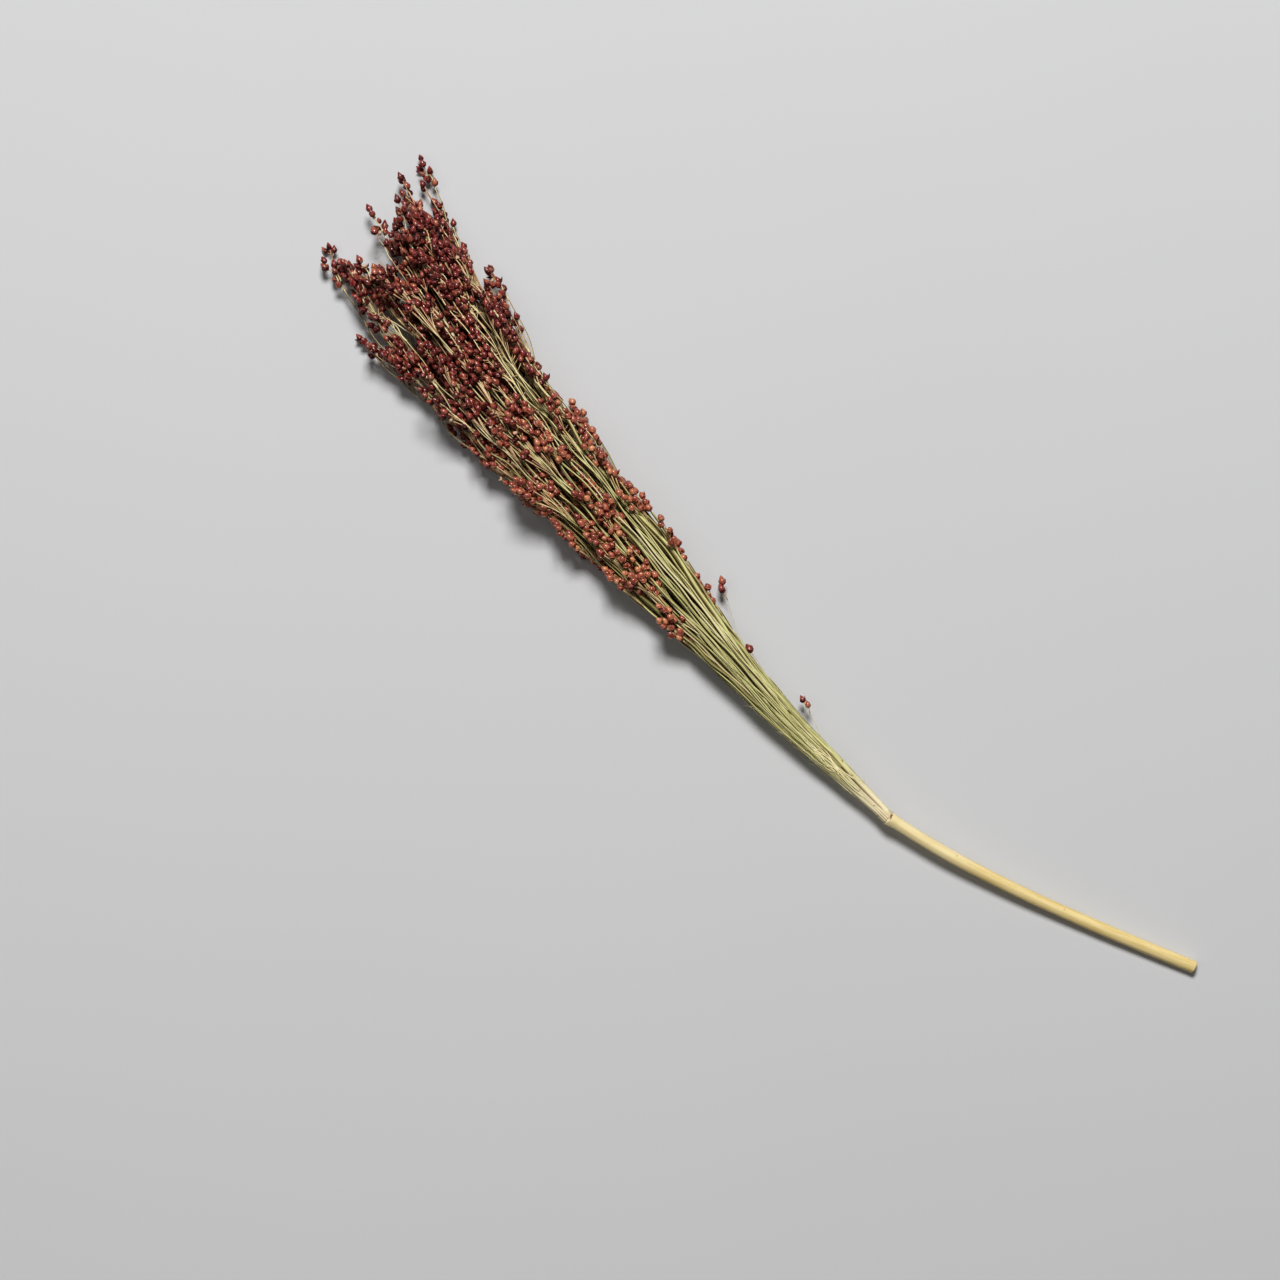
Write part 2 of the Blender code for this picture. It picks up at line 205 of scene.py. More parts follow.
# How many of the added strings end at each X, as a share of the most
STRING_SHARE = ((308.0, 0.2), (340.0, 0.45), (420.0, 0.6), (480.0, 0.85), (540.0, 1.0), (580.0, 0.7))

# The band where straws lie bare on top of the head: X, then its lowest and highest Y
BARE_BAND = (
    (286.0, 50.0, 77.0),
    (325.0, 50.0, 67.0),
    (350.0, 47.5, 63.0),
    (400.0, 42.5, 54.0),
    (450.0, 38.5, 51.0),
    (475.0, 37.0, 48.0),
    (500.0, 32.0, 42.0),
    (520.0, 31.0, 33.0),
)
BARE_BAND_X = 520.0

# Straws that lie side by side along the low edge: X, Y, Z of each tip, and which of them is thick
EDGE_TIPS = (
    (500.0, 27.0, 11.0),
    (512.0, 22.0, 14.0),
    (490.0, 31.0, 16.0),
    (531.0, 26.0, 13.0),
    (474.0, 36.8, 25.5),
    (522.0, 36.0, 24.0),
    (505.0, 42.0, 26.0),
)
THICK_STRAW = 4
THICK_STRAW_SHARE = 2.3

# Gaps between the outermost sprigs: X and Y of the middle, half length and half width
SPRIG_GAPS = (
    (530.0, 72.0, 18.0, 4.5),
    (542.0, 85.0, 12.0, 5.0),
    (562.0, 80.5, 12.0, 6.0),
    (566.0, 54.0, 15.0, 5.5),
    (568.0, 18.5, 11.0, 3.5),
    (518.0, 27.0, 9.0, 2.5),
    (556.0, 11.0, 12.0, 4.0),
)
CLUSTER_PULL = 0.5
SOLID_FREEDOM = 0.25
OWN_OFFSET = 2.1

# Grains that overlap are pushed this far apart, and those at the outline stand back from it unevenly
GRAINS_APART = 3.2
PUSHES = 14
PUSH_SHARE = 0.6
BAND_STEP = 0.8
EDGE_INSET = 1.6
EDGE_WAVE = 0.21
GRAIN_SHARE_X = (380.0, 540.0)
GRAIN_SHARE = (1.03, 0.95)

# Straws lie in bunches near the node: how many, how closely, and the X over which they part
BUNCHES = 13
BUNCH_PULL = 0.65
BUNCH_X = (270.0, 400.0)

# How freely a straw sways: share gained, X where that starts, and the length over which it is gained
SWAY_STEPS = ((0.3, 180.0, 30.0), (0.8, 200.0, 110.0), (1.4, 330.0, 150.0))
SWAY_END = 30.0
STRAW_STATIONS = 84
STRAW_SIDES = 8
STRAW_TAPER = ((165.0, 0.9), (225.0, 0.86), (290.0, 0.68), (350.0, 0.54), (450.0, 0.38), (585.0, 0.28))
STRAW_SHARE = (0.72, 1.2)
STRAW_GROOVES = 3
STRAW_GROOVE_DEPTH = 0.07
FIBRE_STRETCH = 30.0
STEM_STATIONS = 16
STEM_BACK = (2, 7)
STEM_SIDES = 5
LONE_STEM_SHARE = 0.35
GRAIN_RINGS = 5
GRAIN_SIDES = 8
GRAIN_STALK_HALF = (0.24, 0.22, 0.34)
HUSK_SIDES = 8
LONE_RIPENESS = 0.75

# Rings of a husk, up its outer wall and down its inner one: share of the way to the rim, width beside
# the grain's, and flare at the lobes. The inner rim of an empty husk stands further in.
HUSK_WALLS = ((0.5, 1.08, 0.0), (1.0, 1.1, 0.1), (1.0, 0.92, 0.05), (0.5, 0.55, 0.0))
INNER_RIM = 2
EMPTY_RIM = 0.8

# The grains and husks below this X are one piece each, and those above it another
PARTED_X = 455.0

# Barren spikelets beside the grains: where their rings lie, and their length and half width
SPIKELET_RINGS = (0.12, 0.4, 0.7, 0.94)
SPIKELET_SIDES = 4
SPIKELET_LENGTH = (1.5, 2.3)
SPIKELET_HALF = (0.4, 0.62)

# Thin strands on the skin of the bundle's lower part: where they start, their length and half width
STRANDS = 50
STRAND_START = (167.0, 208.0)
STRAND_LENGTH = (45.0, 120.0)
STRAND_HALF = (0.34, 0.58)
STRAND_STATIONS = 52
STRAND_SIDES = 6

# Loose fibres: curls low on the bundle, fibres that lift off a straw, and short hairs at its sides
FIBRE_STATIONS = 26
CURLS = 9
CURL_START = 188.0
CURL_SPREAD = 12.0
CURL_LENGTH = (14.0, 32.0)
CURL_HALF = (0.3, 0.55)
LIFTED_FIBRES = 34
LIFTED_STATIONS = (6, 44)
LIFTED_LENGTH = (25.0, 60.0)
LIFTED_AWAY = 3.5
LIFTED_HALF = (0.07, 0.16)
HAIRS = 60
HAIR_X = (186.0, 262.0)
HAIR_LENGTH = (1.5, 4.5)
HAIR_HALF = 0.06
THIN_SIDES = 4

# The photograph: camera's right and up as seen along the plan, the width that it takes in, and its middle
CAMERA_RIGHT = Vector((-0.6877, -0.7260, 0.0))
CAMERA_UP = Vector((0.7260, -0.6877, 0.0))
VIEW_MIDDLE = Vector((0.0306, 0.0466, 0.0))
VIEW_WIDTH = 0.6656
CAMERA_HEIGHT = 2.4
SENSOR_WIDTH = 36.0

# The lights: name, place aside and up as the camera sees them, height, size in metres and power in watts
LIGHTS = (("window", 0.0, 1.85, 3.0, 0.95, 108.0), ("fill", -1.4, 0.2, 2.6, 2.0, 7.5))
ROOM_STRENGTH = 0.06
FLOOR_HALF = 3.0


# Settings that a user may change

class StalkSizes(PropertyGroup):
    thickness: FloatProperty(
        name="Thickness", description="Width of the bare stalk", default=0.0065, unit="LENGTH")
    fluting: FloatProperty(
        name="Fluting", description="Depth of the stalk's faint ridges", default=0.00005, unit="LENGTH")


class StrawSizes(PropertyGroup):
    thickness: FloatProperty(
        name="Thickness", description="Width of a straw near the node", default=0.0018, unit="LENGTH")
    sway: FloatProperty(
        name="Sway", description="How far a straw wanders from its even route", default=0.0012,
        unit="LENGTH")
    more: IntProperty(
        name="More straws", description="Straws added to those of the solids", default=76, min=0)


class GrainSizes(PropertyGroup):
    width: FloatProperty(
        name="Width", description="Width of a round grain", default=0.0037, unit="LENGTH")
    stem: FloatProperty(
        name="Stem", description="Width of a string's stem at its root", default=0.0009, unit="LENGTH")
    more: IntProperty(
        name="More strings", description="Strings added to those of the solids", default=240, min=0)
    pairs: FloatProperty(
        name="Pairs", description="Share of grains that grow in pairs", default=0.6, subtype="FACTOR",
        min=0.0, max=1.0)
    empty: IntProperty(
        name="Empty husks", description="Open husks whose grain has fallen out", default=90, min=0)
    barren: FloatProperty(
        name="Barren", description="Share of grains with a barren spikelet beside them", default=0.6,
        subtype="FACTOR", min=0.0, max=1.0)


def colour_property(name, description, default):
    return FloatVectorProperty(
        name=name, description=description, default=default, subtype="COLOR", min=0.0, max=1.0)


class HeadColours(PropertyGroup):
    stalk: colour_property("Stalk", "Dry straw yellow of the stalk", (0.84, 0.67, 0.32))
    stalk_streak: colour_property("Stalk streak", "Darker streaks along it", (0.72, 0.54, 0.21))
    pith: colour_property("Pith", "White pith at the cut", (0.86, 0.80, 0.64))
    node: colour_property("Node", "Brown at the node", (0.26, 0.10, 0.05))
    cream: colour_property("Cream", "Straws where they leave the node", (0.92, 0.82, 0.54))
    green: colour_property("Green", "Lit green of the straws", (0.73, 0.71, 0.33))
    olive: colour_property("Olive", "Darker grooves of the straws", (0.16, 0.135, 0.022))
    # painted_shade: painted shade for straws inside the bundle and the foot, with some of their own darker
    # colour; also the painted shade along straws' sides
    painted_shade: colour_property("Shade", "Straws deep inside the bundle", (0.055, 0.038, 0.006))
    tan: colour_property("Tan", "Stems between the grains", (0.85, 0.74, 0.42))
    terracotta: colour_property("Terracotta", "Grains of the lower part", (0.49, 0.165, 0.085))
    maroon: colour_property("Maroon", "Grains towards the tip", (0.20, 0.012, 0.019))
    amber: colour_property("Amber", "The few light grains", (0.72, 0.34, 0.16))
    # Random light pink patches on the grains: partly a dusty bloom, partly a painted pinkish highlight
    bloom_and_sheen: colour_property("Bloom", "Dusty light patches on the grains", (0.56, 0.20, 0.15))
    husk_red: colour_property("Red husk", "Husks round the grains of the lower part", (0.20, 0.026, 0.015))
    husk_edge: colour_property("Husk edge", "Dry edges of the lower husks", (0.56, 0.27, 0.16))
    husk: colour_property("Husk", "Dark husks round the ripest grains", (0.060, 0.004, 0.006))
    empty: colour_property("Empty husk", "Pale husks without a grain", (0.66, 0.45, 0.30))
    floor: colour_property("Floor", "Plain pale floor", (0.62, 0.62, 0.625))


# Curves and directions

def smooth(rows, x):
    """Read the columns after the first at x, on a cubic curve through the rows."""
    rows = np.array(rows, dtype=float)
    places = rows[:, 0]
    values = rows[:, 1:]
    slopes = np.gradient(values, places, axis=0)
    x = np.clip(np.atleast_1d(x).astype(float), places[0], places[-1])
    i = np.clip(np.searchsorted(places, x, side="right") - 1, 0, len(places) - 2)
    step = (places[i + 1] - places[i])[:, None]
    t = (x[:, None] - places[i][:, None]) / step
    start = (2 * t**3 - 3 * t**2 + 1) * values[i] + (t**3 - 2 * t**2 + t) * step * slopes[i]
    end = (3 * t**2 - 2 * t**3) * values[i + 1] + (t**3 - t**2) * step * slopes[i + 1]
    return start + end


def ease(t):
    """Go from 0 to 1 with level ends: 3t^2 - 2t^3."""
    t = np.clip(t, 0.0, 1.0)
    return t * t * (3.0 - 2.0 * t)


def unit(vector):
    return vector / np.linalg.norm(vector, axis=-1, keepdims=True)


def runs(path):
    """Unit direction of a path, or of each of several, at each of its points."""
    return unit(np.gradient(path, axis=-2))


def point_on(path, x):
    """The point of a path at x, and the path's direction there."""
    point = np.array([np.interp(x, path[:, 0], path[:, i]) for i in range(3)])
    directions = runs(path)
    run = unit(np.array([np.interp(x, path[:, 0], directions[:, i]) for i in range(3)]))
    return point, run


# The plan of straws and strings

def straw_line(tip, x):
    """A straw's points at x: its own lane in the bundle, with a lean to its tip over the last stretch."""
    form = smooth(BUNDLE, x)
    end = smooth(BUNDLE, tip[0])[0]
    lane = np.array(((tip[1] - end[0]) / end[2], (tip[2] - end[1]) / end[3]))
    lane /= max(np.linalg.norm(lane), 1.0)
    strays = np.array(tip[1:]) - end[:2] - lane * end[2:]
    lean = ease((x - tip[0] + STRAW_LEAN) / STRAW_LEAN)[:, None]
    return np.column_stack([x, form[:, :2] + lane * form[:, 2:] + lean * strays])


def straw_route(tip, root_x):
    """The few points of a straw's solid, up to where the string of grains at its tip takes over."""
    return straw_line(tip, root_x + (tip[0] - TIP_STRING - root_x) * np.linspace(0.0, 1.0, STRAW_POINTS))


def rest_route(first, last, y, tip):
    """A straw that comes down to the surface, runs level along it and leans to its tip."""
    low = REST_RADIUS * math.cos(math.pi / 4)
    root = smooth(BUNDLE, 172.0)[0]
    above = smooth(BUNDLE, 250.0)[0]
    falling = smooth(BUNDLE, 320.0)[0]
    aside = y - root[0]
    return np.array((
        (172.0, root[0] + 0.03 * aside, root[1] - 1.0),
        (250.0, above[0] + 0.28 * aside, above[1] - 3.8),
        (320.0, falling[0] + 0.62 * aside, falling[1] - 10.4),
        (first, y, low),
        (last, y - 1.0, low),
        (0.5 * (last + tip[0]), 0.5 * (y + tip[1]) + 1.5, 3.2),
        (tip[0] - TIP_STRING, tip[1] + 3.0, tip[2]),
    ))


def spread_tips(rng, amount, reach_x, stride, turn_first, power):
    """Tips of straws inside the head, spread over its section in a sunflower's order."""
    first, last = reach_x
    tips = []
    for i in range(amount):
        reach = ((i * stride) % amount + rng.random()) / amount
        x = first + (last - first) * reach**power
        middle_y, middle_z, half_width, half_height = smooth(BUNDLE, x)[0]
        wide = math.sqrt((i + 0.5) / amount)
        turn = turn_first + i * GRAIN_TURN
        y = middle_y + wide * math.cos(turn) * half_width
        z = middle_z + wide * math.sin(turn) * half_height
        tips.append((x, y, z))
    return tips


def hold_inside(point):
    """Bring a string's last grain inside the head's outline and above the surface."""
    low, high = smooth(GRAIN_REACH, point[0])[0]
    middle_y, middle_z, half_width, half_height = smooth(BUNDLE, point[0])[0]
    room = GRAIN_RADIUS + ABOVE_SURFACE
    y = min(max(point[1], low + room), high - room)
    z = min(max(point[2], room), middle_z + half_height + GRAIN_REACH_UP)
    return np.array((min(point[0], GRAIN_REACH_X), y, z))


def grain_places(root, tip):
    """Rough places of a string's grains, to keep later strings clear of them."""
    return root + (tip - root) * np.linspace(0.4, 1.0, GRAINS)[:, None]


def side_tip(root, run, taken, rng, lengths, tilts, tries):
    """Where a side string ends: ahead of its root and out by a narrow angle, to where there is most room."""
    length = rng.uniform(*lengths)
    tips = []
    rooms = []
    for _ in range(tries):
        angle = rng.uniform(0.0, 2.0 * math.pi)
        tilt = math.radians(rng.uniform(*tilts))
        spread = np.array((0.0, math.cos(angle), math.sin(angle)))
        tip = hold_inside(root + length * (math.cos(tilt) * run + math.sin(tilt) * spread))
        away = np.linalg.norm(grain_places(root, tip)[:, None] - taken[None], axis=2)
        tips.append(tip)
        rooms.append(away.min())
    return tips[int(np.argmax(rooms))]


def plan_straws(rng):
    """Route and tip of every straw that the solids have."""
    straws = []
    middle = spread_tips(rng, MIDDLE_STRAWS, MIDDLE_TIP_X, MIDDLE_STRIDE, 0.0, MIDDLE_POWER)
    for tip in list(OUTLINE_TIPS) + middle:
        straws.append((straw_route(tip, rng.uniform(*STRAW_ROOT_X)), np.array(tip)))
    for first, last, y, tip in REST_STRAWS:
        straws.append((rest_route(first, last, y, tip), np.array(tip)))
    return straws


def plan_strings(straws, rng):
    """Root, last grain and number of grains of the solids' strings, and what room they take."""
    strings = []
    taken = []
    for route, tip in straws:
        x = np.arange(route[0, 0], route[-1, 0], GRAIN_PITCH)
        taken.append(np.column_stack([x] + [np.interp(x, route[:, 0], route[:, i]) for i in (1, 2)]))
        root = route[-1] - STRING_ROOT * unit(tip - route[-1])
        strings.append((root, tip, GRAINS))
        taken.append(grain_places(root, tip))
    taken = np.concatenate(taken)
    for route, tip in straws:
        first = max(FIRST_STRING_X, tip[0] - STRING_STRETCH)
        last = tip[0] - TIP_STRING - 0.25 * STRING_LENGTH[0]
        amount = int((last - first) / STRING_SPACING + rng.random())
        for k in range(amount):
            root_x = first + (last - first) * (k + rng.uniform(0.2, 0.8)) / amount
            root, run = point_on(route, root_x)
            end = side_tip(root, run, taken, rng, STRING_LENGTH, STRING_TILT, STRING_TRIES)
            strings.append((root, end, GRAINS))
            taken = np.concatenate([taken, grain_places(root, end)])
    for root_x, end, grains in LONE_GRAINS:
        roots = [point_on(route, root_x)[0] for route, tip in straws if tip[0] > root_x + STRING_STRETCH / 3]
        root = min(roots, key=lambda place: place[1])
        strings.append((root, np.array(end), grains))
    return strings, taken


def string_grains(root, tip, grains, rng, reach=GRAIN_OFFSET):
    """Middles and widths of a string's grains, to every side of its stem in turn."""
    run = unit(tip - root)
    side = unit(np.cross(run, (0.0, 0.0, 1.0)))
    above = np.cross(side, run)
    length = np.linalg.norm(tip - root)
    twist = rng.uniform(0.0, math.pi)
    places = []
    shares = []
    for i in range(grains):
        along = length - (grains - 0.5 - i) * GRAIN_PITCH
        angle = twist + i * GRAIN_TURN
        offset = reach * (math.cos(angle) * side + math.sin(angle) * above)
        if i == grains - 1:
            offset *= 0.0
        belly = root + run * along + offset
        belly[2] = max(belly[2], GRAIN_RADIUS + ABOVE_SURFACE)
        places.append(belly)
        shares.append(rng.uniform(0.9, 1.05))
    return places, shares


def in_bare_band(places):
    """Which points lie over the band where the straws show, in the upper half of the head."""
    band = smooth(BARE_BAND, places[:, 0])
    form = smooth(BUNDLE, places[:, 0])
    inside = (places[:, 1] > band[:, 0]) & (places[:, 1] < band[:, 1]) & (places[:, 0] < BARE_BAND_X)
    return inside & (places[:, 2] > form[:, 1] - 0.1 * form[:, 3])


def in_sprig_gap(places):
    """Which points lie in one of the gaps between the outermost sprigs, as seen from above."""
    gaps = np.array(SPRIG_GAPS)
    off = (places[:, None, :2] - gaps[None, :, :2]) / gaps[None, :, 2:]
    return ((off**2).sum(axis=2) < 1.0).any(axis=1)


def more_strings(paths, tips, taken, amount, rng):
    """Strings of this script's own, more of them towards the tips, each where there is most room.

    A string is on the least used of the straws that pass it, and none lies over the bare band.
    """
    x, share = np.array(STRING_SHARE).T
    ends = np.linspace(x[0], x[-1], 200)
    sums = np.cumsum(np.interp(ends, x, share))
    used = np.zeros(len(tips))
    strings = []
    for k in range(amount):
        end_x = np.interp((k + rng.random()) / amount * sums[-1], sums, ends)
        sprig = end_x > SPRIG_X
        lengths = SPRIG_LENGTH if sprig else MORE_STRING_LENGTH
        tilts = SPRIG_TILT if sprig else MORE_STRING_TILT
        root_x = end_x - rng.uniform(*lengths)
        fit = [i for i in range(len(tips)) if root_x < paths[i][-1, 0]]
        i = min(fit, key=lambda one: used[one] + rng.random())
        used[i] += 1.0
        root, run = point_on(paths[i], root_x)
        end = side_tip(root, run, taken, rng, lengths, tilts, MORE_STRING_TRIES)
        if in_bare_band(end[None])[0] or in_sprig_gap(end[None])[0]:
            continue
        strings.append((root, end, rng.randint(*(SPRIG_GRAINS if sprig else MORE_STRING_GRAINS))))
        taken = np.concatenate([taken, grain_places(root, end)])
    return strings


def straw_paths(tips, rest_routes, rng, sway):
    """Every straw as a row of points from the node to its tip string, with slow waves along it."""
    paths = []
    for i, tip in enumerate(tips):
        x = np.linspace(NODE_X + 0.8, tip[0] - TIP_STRING, STRAW_STATIONS)
        route = rest_routes.get(i)
        if route is None:
            path = straw_line(tip, x)
        else:
            start = smooth(BUNDLE, NODE_X)[0]
            rows = np.vstack([(NODE_X, start[0], start[1] - 1.0), route])
            path = np.column_stack([x, smooth(rows, x)])
        path = bunched(path)
        held = sum(share * ease((x - start) / length) for share, start, length in SWAY_STEPS)
        held = held * ease((x[-1] - x) / SWAY_END)
        for axis in (1, 2):
            for length, share in ((rng.uniform(80.0, 150.0), 0.9), (rng.uniform(24.0, 52.0), 0.5)):
                wave = np.sin(2.0 * math.pi * (x / length + rng.random()))
                path[:, axis] += sway * share * rng.uniform(0.3, 1.0) * held * wave
        paths.append(path)
    return np.array(paths)


def bunched(path):
    """Draw a straw round the bundle's middle towards the nearest bunch: a' = a - pull * sin(n a) / n."""
    form = smooth(BUNDLE, path[:, 0])
    across = (path[:, 1] - form[:, 0]) / form[:, 2]
    upward = (path[:, 2] - form[:, 1]) / form[:, 3]
    angle = np.arctan2(upward, across)
    wide = np.hypot(across, upward)
    pull = BUNCH_PULL * (1.0 - ease((path[:, 0] - BUNCH_X[0]) / (BUNCH_X[1] - BUNCH_X[0])))
    angle = angle - pull * np.sin(BUNCHES * angle) / BUNCHES
    y = form[:, 0] + wide * np.cos(angle) * form[:, 2]
    z = form[:, 1] + wide * np.sin(angle) * form[:, 3]
    return np.column_stack([path[:, 0], y, z])


@functools.lru_cache(maxsize=1)
def head_plan(straw_count, string_count, sway, pair_share):
    """Straws, strings and grains of the whole head, worked out once for all the operators."""
    rng = random.Random(SEED)
    straws = plan_straws(rng)
    strings, taken = plan_strings(straws, rng)
    grains = []
    lone = len(strings) - len(LONE_GRAINS)
    for i, (root, tip, count) in enumerate(strings):
        places, shares = string_grains(root, tip, count, rng)
        freedom = SOLID_FREEDOM if i < lone else 0.0
        grains += [(i, place, share, freedom) for place, share in zip(places, shares)]
    own = random.Random(MORE_SEED)
    tips = [tip for route, tip in straws]
    extra = spread_tips(own, straw_count, MORE_TIP_X, MORE_STRIDE, 1.0, MORE_POWER)
    tips += [np.array(tip) for tip in (*EDGE_TIPS, *extra)]
    firsts = len(straws) - len(REST_STRAWS)
    rest_routes = {i: straws[i][0] for i in range(firsts, len(straws))}
    paths = straw_paths(tips, rest_routes, own, sway)
    added = []
    for i in range(len(straws), len(tips)):
        end = paths[i][-1]
        added.append((end - STRING_ROOT * unit(tips[i] - end), tips[i], GRAINS))
    added += more_strings(paths, tips, taken, string_count, own)
    for root, tip, count in added:
        strings.append((root, tip, count))
        places, shares = string_grains(root, tip, count, own, OWN_OFFSET)
        grains += [(len(strings) - 1, place, share, 1.0) for place, share in zip(places, shares)]
    grains = clustered(strings, grains, own)
    grains += paired_grains(strings, grains, pair_share, own)
    return paths, tips, strings, settle(grains)


def clustered(strings, grains, rng):
    """Draw the grains of a string together along it, in twos and threes."""
    drawn = []
    first = 0
    while first < len(grains):
        last = first + rng.choice((2, 3, 3))
        group = [grain for grain in grains[first:last] if grain[0] == grains[first][0]]
        root, tip, count = strings[group[0][0]]
        run = unit(tip - root)
        middle = sum(grain[1] for grain in group) / len(group)
        for i, place, share, freedom in group:
            pull = CLUSTER_PULL * freedom
            drawn.append((i, place + pull * run * float((middle - place) @ run), share, freedom))
        first += len(group)
    return drawn


def paired_grains(strings, grains, pair_share, rng):
    """A second grain across the stem from some of the grains."""
    pairs = []
    for i, place, share, freedom in grains:
        root, tip, count = strings[i]
        run = unit(tip - root)
        along = float((place - root) @ run)
        alone = freedom == 0.0 or rng.random() > pair_share
        if alone or along > np.linalg.norm(tip - root) - GRAIN_PITCH:
            continue
        across = root + run * along - place
        if np.linalg.norm(across) < 0.5:
            continue
        turned = unit(unit(across) + 0.5 * np.array([rng.uniform(-1.0, 1.0) for _ in range(3)]))
        shift = rng.uniform(-1.2, 1.2) * run
        pairs.append((i, root + run * along + shift + turned * rng.uniform(1.9, 2.8), share, 1.0))
    return pairs


def settle(grains):
    """Push grains that overlap apart, off the bare band, and hold them inside the outline.

    Those of this script's own that still lie in a gap between sprigs are left out.
    """
    owner = np.array([grain[0] for grain in grains])
    places = np.array([grain[1] for grain in grains])
    shares = np.array([grain[2] for grain in grains])
    freedom = np.array([grain[3] for grain in grains])
    shares = shares * np.interp(places[:, 0], GRAIN_SHARE_X, GRAIN_SHARE)
    one, two = np.array(near_pairs(places, 2.0 * GRAINS_APART)).T
    scatter = np.random.default_rng(MORE_SEED).uniform(0.0, EDGE_INSET, len(places))
    for _ in range(PUSHES):
        between = places[one] - places[two]
        distance = np.maximum(np.linalg.norm(between, axis=1), 0.01)
        push = np.maximum(GRAINS_APART - distance, 0.0) / distance
        share = freedom[one] / np.maximum(freedom[one] + freedom[two], 0.01)
        np.add.at(places, one, between * (PUSH_SHARE * push * share)[:, None])
        other = freedom[two] / np.maximum(freedom[one] + freedom[two], 0.01)
        np.add.at(places, two, -between * (PUSH_SHARE * push * other)[:, None])
        bare = in_bare_band(places) & (freedom == 1.0)
        band = smooth(BARE_BAND, places[bare, 0])
        aside = np.where(places[bare, 1] > band.mean(axis=1), BAND_STEP, -BAND_STEP)
        places[bare, 1] += aside
        reach = smooth(GRAIN_REACH, places[:, 0])
        form = smooth(BUNDLE, places[:, 0])
        room = GRAIN_RADIUS + scatter + 0.5 * EDGE_INSET * (1.0 + np.sin(EDGE_WAVE * places[:, 0]))
        held_y = np.clip(places[:, 1], reach[:, 0] + room, reach[:, 1] - room)
        places[:, 1] = np.where(freedom == 1.0, held_y, places[:, 1])
        places[:, 0] = np.minimum(places[:, 0], GRAIN_REACH_X)
        highest = form[:, 1] + form[:, 3] + GRAIN_REACH_UP
        places[:, 2] = np.clip(places[:, 2], GRAIN_RADIUS + 2.0 * ABOVE_SURFACE, highest)
    keep = (freedom < 1.0) | ~in_sprig_gap(places)
    return owner[keep], places[keep], shares[keep]


def near_pairs(places, reach):
    """Pairs of points that are closer than reach, found along sorted X."""
    order = np.argsort(places[:, 0])
    ordered = places[order]
    last = np.searchsorted(ordered[:, 0], ordered[:, 0] + reach)
    pairs = []
    for i in range(len(order)):
        close = np.arange(i + 1, last[i])
        gaps = np.linalg.norm(ordered[close] - ordered[i], axis=1)
        pairs += [(order[i], order[j]) for j in close[gaps < reach]]
    return pairs


# Meshes

UP = np.array((0.0, 0.0, 1.0))


def ring_angles(sides):
    """Angles of a ring's points, evenly round it."""
    return np.arange(sides) * 2.0 * math.pi / sides


def per_point(values, points):
    """One value for each tube or grain, at every one of its points."""
    return np.repeat(values, points.shape[1])


def tones(points, rng):
    """A random tone for each tube or grain, at every one of its points."""
    return per_point(rng.uniform(0.0, 1.0, len(points)), points)


def ring_values(values, sides, count, poles=(0.0, 1.0)):
    """One value for each ring of a tube and for its poles, at every point of so many tubes."""
    return np.tile(np.concatenate([np.repeat(values, sides), poles]), count)


def tube_points(paths, wide, high, sides, outward, grooves=0.0, groove_count=4):
    """Rings round every point of every path, and a pole at each end.

    A ring is centre + cos(a) * wide * side + sin(a) * high * above, with both radii scaled by
    1 + grooves * cos(groove_count * a).
    """
    directions = runs(paths)
    side = unit(np.cross(outward, directions))
    above = np.cross(directions, side)
    angles = ring_angles(sides)
    swell = 1.0 + grooves * np.cos(groove_count * angles)
    across = (np.cos(angles) * swell)[:, None] * (wide[..., None] * side)[..., None, :]
    upward = (np.sin(angles) * swell)[:, None] * (high[..., None] * above)[..., None, :]
    rings = paths[..., None, :] + across + upward
    count, stations = paths.shape[:2]
    poles = paths[:, (0, -1)]
    return np.concatenate([rings.reshape(count, stations * sides, 3), poles], axis=1)


def tube_faces(count, stations, sides):
    """Quads between neighbouring rings, and triangles from the end rings to the poles."""
    j = np.arange(sides)
    k = (j + 1) % sides
    i = np.arange(stations - 1)[:, None] * sides
    quads = np.stack([i + j, i + k, i + sides + k, i + sides + j], axis=-1).reshape(-1, 4)
    last = (stations - 1) * sides
    start = np.column_stack([k, j, np.full(sides, stations * sides)])
    end = np.column_stack([last + j, last + k, np.full(sides, stations * sides + 1)])
    triangles = np.concatenate([start, end])
    shift = (np.arange(count) * (stations * sides + 2))[:, None, None]
    return (quads + shift).reshape(-1, 4), (triangles + shift).reshape(-1, 3)


def tube_fibres(paths, sides, rng, stretch):
    """A point in a straight bundle for every point of a tube: round it by angle, and slowly along it.

    It gives noise that runs as streaks along the tube and has no seam.
    """
    count, stations = paths.shape[:2]
    steps = np.linalg.norm(np.diff(paths, axis=1), axis=2)
    lengths = np.concatenate([np.zeros((count, 1)), np.cumsum(steps, axis=1)], axis=1)
    angles = ring_angles(sides)
    shift = rng.uniform(0.0, 50.0, (count, 1, 1))
    fibres = np.empty((count, stations, sides, 3))
    fibres[..., 0] = np.cos(angles) + shift
    fibres[..., 1] = np.sin(angles) - shift
    fibres[..., 2] = lengths[:, :, None] / stretch
    middles = np.stack([fibres[:, 0].mean(axis=1), fibres[:, -1].mean(axis=1)], axis=1)
    return np.concatenate([fibres.reshape(count, stations * sides, 3), middles], axis=1)


